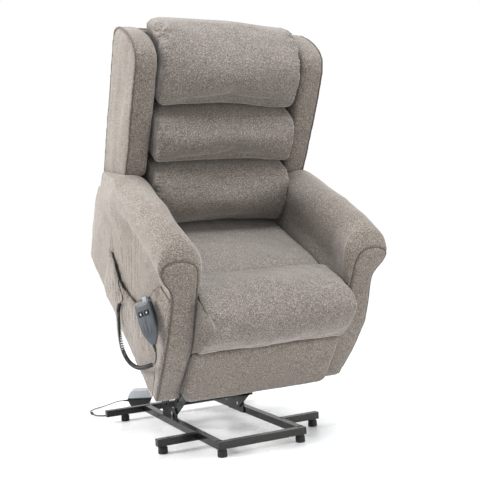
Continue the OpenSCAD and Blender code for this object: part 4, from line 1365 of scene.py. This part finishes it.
def wing(side, name, seed):
    out = rounded(WING, 260, 9.0)
    nrm = inward(out)
    loops = []
    for x, off in ((363.5, 70), (363.5, 46), (362.6, 24), (361.0, 10), (359.6, 4), (358.0, 0.8), (355, 0), (340, -1.6), (322, -2.2), (306, -1.6),
                   (296, 0), (289, 2.0), (283, 6.0), (279, 11.5), (277, 18), (276.4, 26), (276.4, 60)):
        o = out + nrm * off
        if off > 30:
            c = out.mean(0)
            o = c + (out + nrm * 24 - c) * (1 - (off - 24) / 110)
        loops.append(np.column_stack([np.full(len(o), side * x), o]))
    v, f = loft(loops)
    p, f = remesh(v, f, 7.0)
    p, f = finer(p, f)
    q = quads(f)
    p = relax(p, q, 3)
    n = normals(p, q)
    edge = even(out, 900, True)
    seam = np.column_stack([np.full(len(edge), side * 359.4), edge])
    p = groove(p, n, seam, 4.0, 2.4)
    flat = step01((np.abs(p[:, 0]) - 355) / 4)
    p = p + n * (waves(p, seed, 200) * (0.9 + 0.6 * flat))[:, None]
    # faint puckers beside the front seam
    front = even(np.column_stack([np.full(400, side * 357.0), np.interp(np.linspace(515, 900, 400), [w[1] for w in WING[:6]], [w[0] for w in WING[:6]]), np.linspace(515, 900, 400)]), 500)
    p = pucker(p, n, front, seed + 2, spacing=15.0, length=13.0, depth=0.9, seam=(3, 0.0))
    # the back of the wing stays in front of the rear cover
    p[:, 1] = np.minimum(p[:, 1], rear(np.minimum(p[:, 2], 900)) - 0.3)
    o = make(name, from_chair(p), f, FABRIC)
    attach(o, "back")
    n = normals(p, q)
    # the piping round the wing, in the cloth darkened with painted shade
    line = smooth_line(hug(seam, p, n, 1.8), 8, True)
    v, tf = tube(line, 3.1, 8, closed=True)
    w = make(name + "_piping", from_chair(v), tf, PIPING_PAINTED_SHADE)
    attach(w, "back")
    return o


left_wing = wing(-1, "left_wing", 81)
right_wing = wing(1, "right_wing", 87)
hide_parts("back_wings")
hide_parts("back_wings")


def rear_cover():
    """The outside back: one stretched panel from the wings' rear edges, and a flap between the arms."""
    nx, nz = 121, 150
    zs = np.concatenate([np.linspace(250, 402, 32), np.linspace(402.5, 905, 96), np.linspace(909, 943, 22)])
    nz = len(zs)
    outer, inner = [], []
    for z in zs:
        half = 269.5 if z < 402.2 else 359.0
        x = np.linspace(-half, half, nx)
        if z < 400:
            y = np.interp(z, [250, 322, 400], [830, 831, rear(400) + 8])
        elif z < 905:
            y = rear(z) + 8
        else:
            t = (z - 905) / 39
            y = rear(905) + 8 - 50 * (1 - math.sqrt(max(0.0, 1 - t * t)))
        edge = 1 - np.abs(x / half) ** 10
        dome = 3.0 * (1 - (x / half) ** 2) * step01((z - 410) / 60) * (1 - step01((z - 860) / 45))
        px = np.column_stack([x, np.full(nx, y), np.full(nx, z)])
        puff = dome + waves(px, 19, 260) * 1.2
        px[:, 1] += puff * edge - 3.0 * (1 - edge)
        outer.append(px)
        back = px.copy()
        back[:, 1] -= 5.5 + puff * edge
        if z > 905:
            back[:, 1] = px[:, 1] - 3
            back[:, 2] = z - 6
        back[:, 1] = np.maximum(back[:, 1], rear(min(z, 905)) + 0.4) if z <= 905 else back[:, 1]
        inner.append(back)
    a, b = np.vstack(outer), np.vstack(inner)
    k = len(a)
    faces = grid(None, nx, nz)
    faces += [(q[3] + k, q[2] + k, q[1] + k, q[0] + k) for q in grid(None, nx, nz)]
    for i in range(nx - 1):
        faces.append((i + 1, i, i + k, i + 1 + k))
        t0 = (nz - 1) * nx
        faces.append((t0 + i, t0 + i + 1, t0 + i + 1 + k, t0 + i + k))
    for j in range(nz - 1):
        faces.append((j * nx, (j + 1) * nx, (j + 1) * nx + k, j * nx + k))
        e = j * nx + nx - 1
        faces.append(((j + 1) * nx + nx - 1, e, e + k, (j + 1) * nx + nx - 1 + k))
    o = make("outside_back", from_chair(np.vstack([a, b])), faces, FABRIC)
    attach(o, "back")
    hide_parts("back_rear_cover")


rear_cover()


# ---------------------------------------------------------------- handset
HS = 29.0
HS_OUT = [(-HS + 3.5, 0), (HS - 3.5, 0), (HS - 0.6, -4), (HS, -30), (HS, -62), (HS - 2, -85), (HS - 7, -105), (HS - 14, -121), (HS - 21, -133), (HS - 24, -137),
          (-HS + 24, -137), (-HS + 21, -133), (-HS + 14, -121), (-HS + 7, -105), (-HS + 2, -85), (-HS, -62), (-HS, -30), (-HS + 0.6, -4)]


def handset():
    out = rounded(HS_OUT, 160, 3.0)
    nrm = inward(out)

    def ring(y, off, lean=0.0):
        o = out + nrm * off
        tip = step01((-80 - o[:, 1]) / 60)
        return np.column_stack([o[:, 0], y + lean * tip, o[:, 1]])

    shell = [ring(-0.2, 9), ring(-0.2, 5, -3), ring(-0.8, 2.4, -4), ring(-2.6, 0.8, -4), ring(-6, 0.1, -2), ring(-11.2, 0), ring(-11.6, 0.7), ring(-12.1, 0.7)]
    v, f = loft(shell)
    a = make("handset_back_half", from_handset(v), f, HANDSET_DARK)
    front = [ring(-12.1, 0.7), ring(-12.5, 0.7), ring(-12.9, 0), ring(-18, 0), ring(-21.6, 0.4, 2.5), ring(-23.6, 1.6, 3.5), ring(-24.6, 3.2, 4.2), ring(-25.0, 5.2, 4.6),
             ring(-25.1, 6.4, 4.8), ring(-24.8, 6.9, 4.8), ring(-25.2, 7.4, 4.8)]
    c = np.array([0, -62.0])
    for k in (0.25, 0.5, 0.75, 0.92):
        o = out + nrm * 7.4
        tip = step01((-80 - o[:, 1]) / 60)
        mid = np.column_stack([np.zeros(len(o)), np.clip(o[:, 1], -112, -22)])
        o2 = o * (1 - k) + mid * k
        tip = step01((-80 - o2[:, 1]) / 60)
        front.append(np.column_stack([o2[:, 0], -25.25 - 0.35 * k + 4.8 * tip, o2[:, 1]]))
    v, f = loft(front)
    b = make("handset_front_half", from_handset(v), f, HANDSET)
    # oval grip line low on the face
    t = np.linspace(0, 2 * np.pi, 90, endpoint=False)
    oval = np.column_stack([12.0 * np.cos(t) * (1 - 0.22 * np.sin(t + np.pi)), np.zeros(90), -86 + 24 * np.sin(t)])
    tip = step01((-80 - oval[:, 2]) / 60)
    oval[:, 1] = -25.55 + 4.8 * tip
    v, f = tube(oval, 0.42, 6, closed=True)
    ringo = make("handset_grip_line", from_handset(v), f, HANDSET_DARK)
    # a black surround for each of the two keys
    v_all, f_all, n = [], [], 0
    for s in (-1, 1):
        t = np.array([(-7.9, -27.1), (7.9, -27.1), (7.9, -42.9), (-7.9, -42.9)]) + np.array([s * 11.0, 0])
        t = rounded(t, 80, 1.5)
        inn = inward(t)
        loops = [np.column_stack([(t + inn * o)[:, 0], np.full(80, y), (t + inn * o)[:, 1]])
                 for y, o in ((-24.9, -1.0), (-25.7, -0.9), (-25.95, -0.4), (-25.95, 0.5), (-25.7, 1.1), (-24.9, 1.2), (-24.9, -1.0))]
        v, f = loft(loops, cap=False)
        v_all.append(v)
        f_all += [tuple(i + n for i in q) for q in f]
        n += len(v)
    rim = make("handset_key_frame", from_handset(np.vstack(v_all)), f_all, BUTTON)
    for o, nodes in ((a, ["handset_back_shell"]), (b, ["handset_front_shell"]), (ringo, []), (rim, [])):
        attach(o, "chair")
        if nodes:
            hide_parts(*nodes)
    # arrows on the two keys
    for s, body, flip in ((-1, "button_up", 1), (1, "button_down", -1)):
        cx, cz, y = s * 11.0, -35.0, -26.3
        arrow = [(-3.6, -0.4), (0, 3.3), (3.6, -0.4), (1.3, -0.4), (1.3, -3.2), (-1.3, -3.2), (-1.3, -0.4)]
        pts = [(cx + x, y - 0.25, cz + flip * z) for x, z in arrow] + [(cx + x, y + 0.4, cz + flip * z) for x, z in arrow]
        m = len(arrow)
        fs = [tuple(range(m)), tuple(range(2 * m - 1, m - 1, -1))] + [(i, (i + 1) % m, (i + 1) % m + m, i + m) for i in range(m)]
        o = make(f"key_arrow_{body}", from_handset(np.array(pts)), fs, MARK, smooth=False)
        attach(o, body)
    # cable gland, ribbed
    prof = [(-136.6, 4.4), (-138.5, 4.7), (-141, 4.6), (-142, 3.9), (-143, 4.4), (-145, 4.2), (-146, 3.5), (-147, 4.0), (-149, 3.8), (-150, 3.1),
            (-151, 3.6), (-153, 3.4), (-154, 2.7), (-155, 3.1), (-158, 2.7), (-159.2, 1.9)]
    loops = []
    for z, r in prof:
        k = 2 * np.pi * np.arange(20) / 20
        loops.append(np.stack([r * np.cos(k), -12.5 + r * np.sin(k), np.full(20, z)], 1))
    v, f = loft(loops)
    g = make("handset_gland", from_handset(v), f, RUBBER)
    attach(g, "chair")
    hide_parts("handset_strain_relief")


handset()


# ---------------------------------------------------------------- power supply
def from_supply(p):
    a = math.radians(-25.7)
    p = np.asarray(p, float)
    x = p[..., 0] * math.cos(a) - p[..., 1] * math.sin(a) - 97
    y = p[..., 0] * math.sin(a) + p[..., 1] * math.cos(a) + 1017
    return from_base(np.stack([x, y, p[..., 2]], -1))


def power_supply():
    def block(name, prof, depth, mat, node, soft):
        out = rounded(prof, 120, soft)
        nrm = inward(out)
        loops = []
        for y, off in ((-depth, 4.0), (-depth + 0.3, 2.4), (-depth + 1.2, 1.0), (-depth + 2.6, 0.2), (-depth + 5, 0), (0, 0), (depth - 5, 0),
                       (depth - 2.6, 0.2), (depth - 1.2, 1.0), (depth - 0.3, 2.4), (depth, 4.0)):
            o = out + nrm * off
            loops.append(np.column_stack([o[:, 0], np.full(len(o), y), o[:, 1]]))
        v, f = loft(loops)
        o = make(name, from_supply(v), f, mat)
        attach(o, "base")
        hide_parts(node)
        return o

    block("supply_bottom_half", [(-38, 0.3), (38, 0.3), (51, 24), (53, 32.6), (-53, 32.6), (-51, 24)], 33, BLACK, "power_supply_lower_shell", 2.5)
    block("supply_top_half", [(-53, 33.4), (53, 33.4), (51, 43), (45, 58), (36, 67), (29, 69.5), (-29, 69.5), (-36, 67), (-45, 58), (-51, 43)], 33, GREY,
          "power_supply_upper_shell", 3.0)
    # four raised vents on the top
    v_all, f_all, n = [], [], 0
    for x in (-18, -9, 0, 9, 18):
        line = np.column_stack([np.full(12, x), np.linspace(-20, 20, 12), np.full(12, 69.7)])
        v, f = tube(line, 0.9, 6)
        v_all.append(v)
        f_all += [tuple(i + n for i in q) for q in f]
        n += len(v)
    o = make("supply_ribs", from_supply(np.vstack(v_all)), f_all, GREY)
    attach(o, "base")
    # ribbed strain relief
    prof = [(-50.5, 4.9), (-53, 4.9), (-54, 4.0), (-55.5, 4.6), (-57.5, 4.5), (-58.5, 3.7), (-60, 4.3), (-62, 4.2), (-63, 3.4), (-64.5, 4.0), (-66.5, 3.8),
            (-67.5, 3.1), (-69, 3.6), (-73, 3.2), (-75.2, 2.7)]
    loops = []
    for x, r in prof:
        k = 2 * np.pi * np.arange(20) / 20
        loops.append(np.stack([np.full(20, x), r * np.cos(k), 22 + r * np.sin(k)], 1))
    v, f = loft(loops)
    o = make("supply_gland", from_supply(v), f, RUBBER)
    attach(o, "base")
    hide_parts("supply_strain_relief")


power_supply()


# ---------------------------------------------------------------- welds of the base
def weld_beads():
    v_all, f_all, n = [], [], 0
    r = np.random.default_rng(8)

    def bead(a, b):
        nonlocal n
        a, b = np.array(a, float), np.array(b, float)
        m = max(6, int(np.linalg.norm(b - a) / 1.6))
        line = a + (b - a) * np.linspace(0, 1, m)[:, None]
        taper = 0.8 + 0.35 * np.abs(np.sin(np.arange(m) * 1.1)) * r.uniform(0.8, 1.1, m)
        taper[0] = taper[-1] = 0.4
        v, f = tube(line, 1.7, 7, taper=taper)
        v_all.append(v)
        f_all.extend([tuple(i + n for i in q) for q in f])
        n += len(v)

    lo, hi = 27.0, 52.0
    record = frame["nodes"]
    for s in (-1, 1):
        rail = BASE_W / 2
        inn = rail - 25
        # side rail to front bar and to rear bar, top and both flanks
        for y in (25.0, BASE_D - 25.0):
            bead((s * (inn + 1), y, hi), (s * (rail - 1), y, hi))
            bead((s * inn, y, lo + 1), (s * inn, y, hi - 1))
            if y > 100:
                bead((s * rail, y, lo + 1), (s * rail, y, hi - 1))
        # outrigger to side rail
        y0 = OUT_Y
        bead((s * rail, y0 + 1, hi), (s * rail, y0 + 24, hi))
        bead((s * rail, y0, lo + 1), (s * rail, y0, hi - 1))
        bead((s * rail, y0 + 25, lo + 1), (s * rail, y0 + 25, hi - 1))
        # side bracket to the rail
        bead((s * (inn - 2.5), 448, hi + 0.5), (s * (inn - 0.3), 586, hi + 0.5))
    o = make("weld_beads", from_base(np.vstack(v_all)), f_all, STEEL)
    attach(o, "base")


lo_, hi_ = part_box("base_side_rails")
BASE_W = (hi_.x - lo_.x) * 1000
BASE_D = (hi_.y - lo_.y) * 1000 + 50
lo_, hi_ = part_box("base_outriggers")
OUT_Y = lo_.y * 1000 - OY
weld_beads()


# ---------------------------------------------------------------- the fabric that closes the gap under the lumbar cushion
def recline_gusset():
    """A tuck of cloth from the back of the seat up to the lumbar cushion."""
    nx, nv = 60, 44
    path = catmull([(640, 292), (606, 310), (590, 330), (600, 348), (628, 352), (650, 350)], 8)
    path = even(path, nv)
    a, b = [], []
    tang = np.gradient(path, axis=0)
    tang /= np.linalg.norm(tang, axis=1, keepdims=True)
    nrm = np.stack([-tang[:, 1], tang[:, 0]], 1)
    for j in range(nv):
        x = np.linspace(-258, 258, nx)
        a.append(np.column_stack([x, np.full(nx, path[j, 0]), np.full(nx, path[j, 1])]))
        o = path[j] + nrm[j] * 2.4
        b.append(np.column_stack([x, np.full(nx, o[0]), np.full(nx, o[1])]))
    a, b = np.vstack(a), np.vstack(b)
    k = len(a)
    faces = grid(None, nx, nv)
    faces += [(q[3] + k, q[2] + k, q[1] + k, q[0] + k) for q in grid(None, nx, nv)]
    for i in range(nx - 1):
        faces.append((i + 1, i, i + k, i + 1 + k))
        t0 = (nv - 1) * nx
        faces.append((t0 + i, t0 + i + 1, t0 + i + 1 + k, t0 + i + k))
    for j in range(nv - 1):
        faces.append((j * nx, (j + 1) * nx, (j + 1) * nx + k, j * nx + k))
        e = j * nx + nx - 1
        faces.append(((j + 1) * nx + nx - 1, e, e + k, (j + 1) * nx + nx - 1 + k))
    o = make("seat_to_back_tuck", from_chair(np.vstack([a, b])), faces, FABRIC)
    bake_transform(o)


recline_gusset()


# ---------------------------------------------------------------- floor, light, world
def stage():
    me = bpy.data.meshes.new("floor")
    r, k = 40.0, 96
    me.from_pydata([(r * math.cos(2 * math.pi * i / k), r * math.sin(2 * math.pi * i / k), 0) for i in range(k)], [], [tuple(range(k))])
    o = bpy.data.objects.new("floor", me)
    scene.collection.objects.link(o)
    o.location = (0, 0, -0.0006)
    m, nt, p = nodes_of("pale_floor")
    v = mapped(nt)
    c = ramp(nt, noise(nt, v, 1.6, 4.0, 0.5), [(0.3, (0.655, 0.665, 0.675)), (0.7, (0.70, 0.708, 0.716))])
    nt.links.new(c, p.inputs["Base Color"])
    nt.links.new(ramp(nt, noise(nt, v, 5.0, 3.0, 0.5), [(0.3, (0.22,) * 3), (0.7, (0.36,) * 3)]), p.inputs["Roughness"])
    p.inputs["Specular IOR Level"].default_value = 0.45
    p.inputs["Emission Color"].default_value = (1, 1, 1, 1)
    p.inputs["Emission Strength"].default_value = 0.12
    # the floor runs out into the white of the room
    away = nt.nodes.new("ShaderNodeVectorMath")
    away.operation = "LENGTH"
    nt.links.new(v, away.inputs[0])
    fade = nt.nodes.new("ShaderNodeMapRange")
    fade.interpolation_type = "SMOOTHSTEP"
    fade.inputs["From Min"].default_value, fade.inputs["From Max"].default_value = 1.3, 3.2
    nt.links.new(away.outputs["Value"], fade.inputs["Value"])
    white = nt.nodes.new("ShaderNodeEmission")
    white.inputs["Color"].default_value = (1.0, 1.0, 1.0, 1)
    white.inputs["Strength"].default_value = 1.01
    mix = nt.nodes.new("ShaderNodeMixShader")
    nt.links.new(fade.outputs["Result"], mix.inputs["Fac"])
    nt.links.new(p.outputs["BSDF"], mix.inputs[1])
    nt.links.new(white.outputs["Emission"], mix.inputs[2])
    nt.links.new(mix.outputs["Shader"], nt.nodes["Material Output"].inputs["Surface"])
    o.data.materials.append(m)
    w = bpy.data.worlds.new("studio")
    scene.world = w
    w.use_nodes = True
    bg = w.node_tree.nodes["Background"]
    bg.inputs["Color"].default_value = (1.0, 1.0, 1.0, 1)
    bg.inputs["Strength"].default_value = 1.01

    def area(name, loc, aim, size, energy, colour):
        d = bpy.data.lights.new(name, "AREA")
        d.shape, d.size, d.size_y, d.energy, d.color = "RECTANGLE", size[0], size[1], energy, colour
        ob = bpy.data.objects.new(name, d)
        scene.collection.objects.link(ob)
        ob.location = loc
        ob.rotation_euler = (Vector(aim) - Vector(loc)).to_track_quat("-Z", "Y").to_euler()
        return ob

    area("key", (-3.5, 0.85, 2.15), (0, 0.1, 0.75), (1.7, 1.7), 228, (1.0, 0.985, 0.965))
    area("top", (0.1, -2.2, 5.2), (0, -0.1, 0.7), (2.1, 2.1), 395, (0.93, 0.965, 1.0))
    area("fill", (1.5, -2.5, 0.3), (0, -0.3, 0.5), (1.6, 0.6), 33, (1.0, 0.94, 0.85))
    scene.view_settings.view_transform = "Standard"


stage()
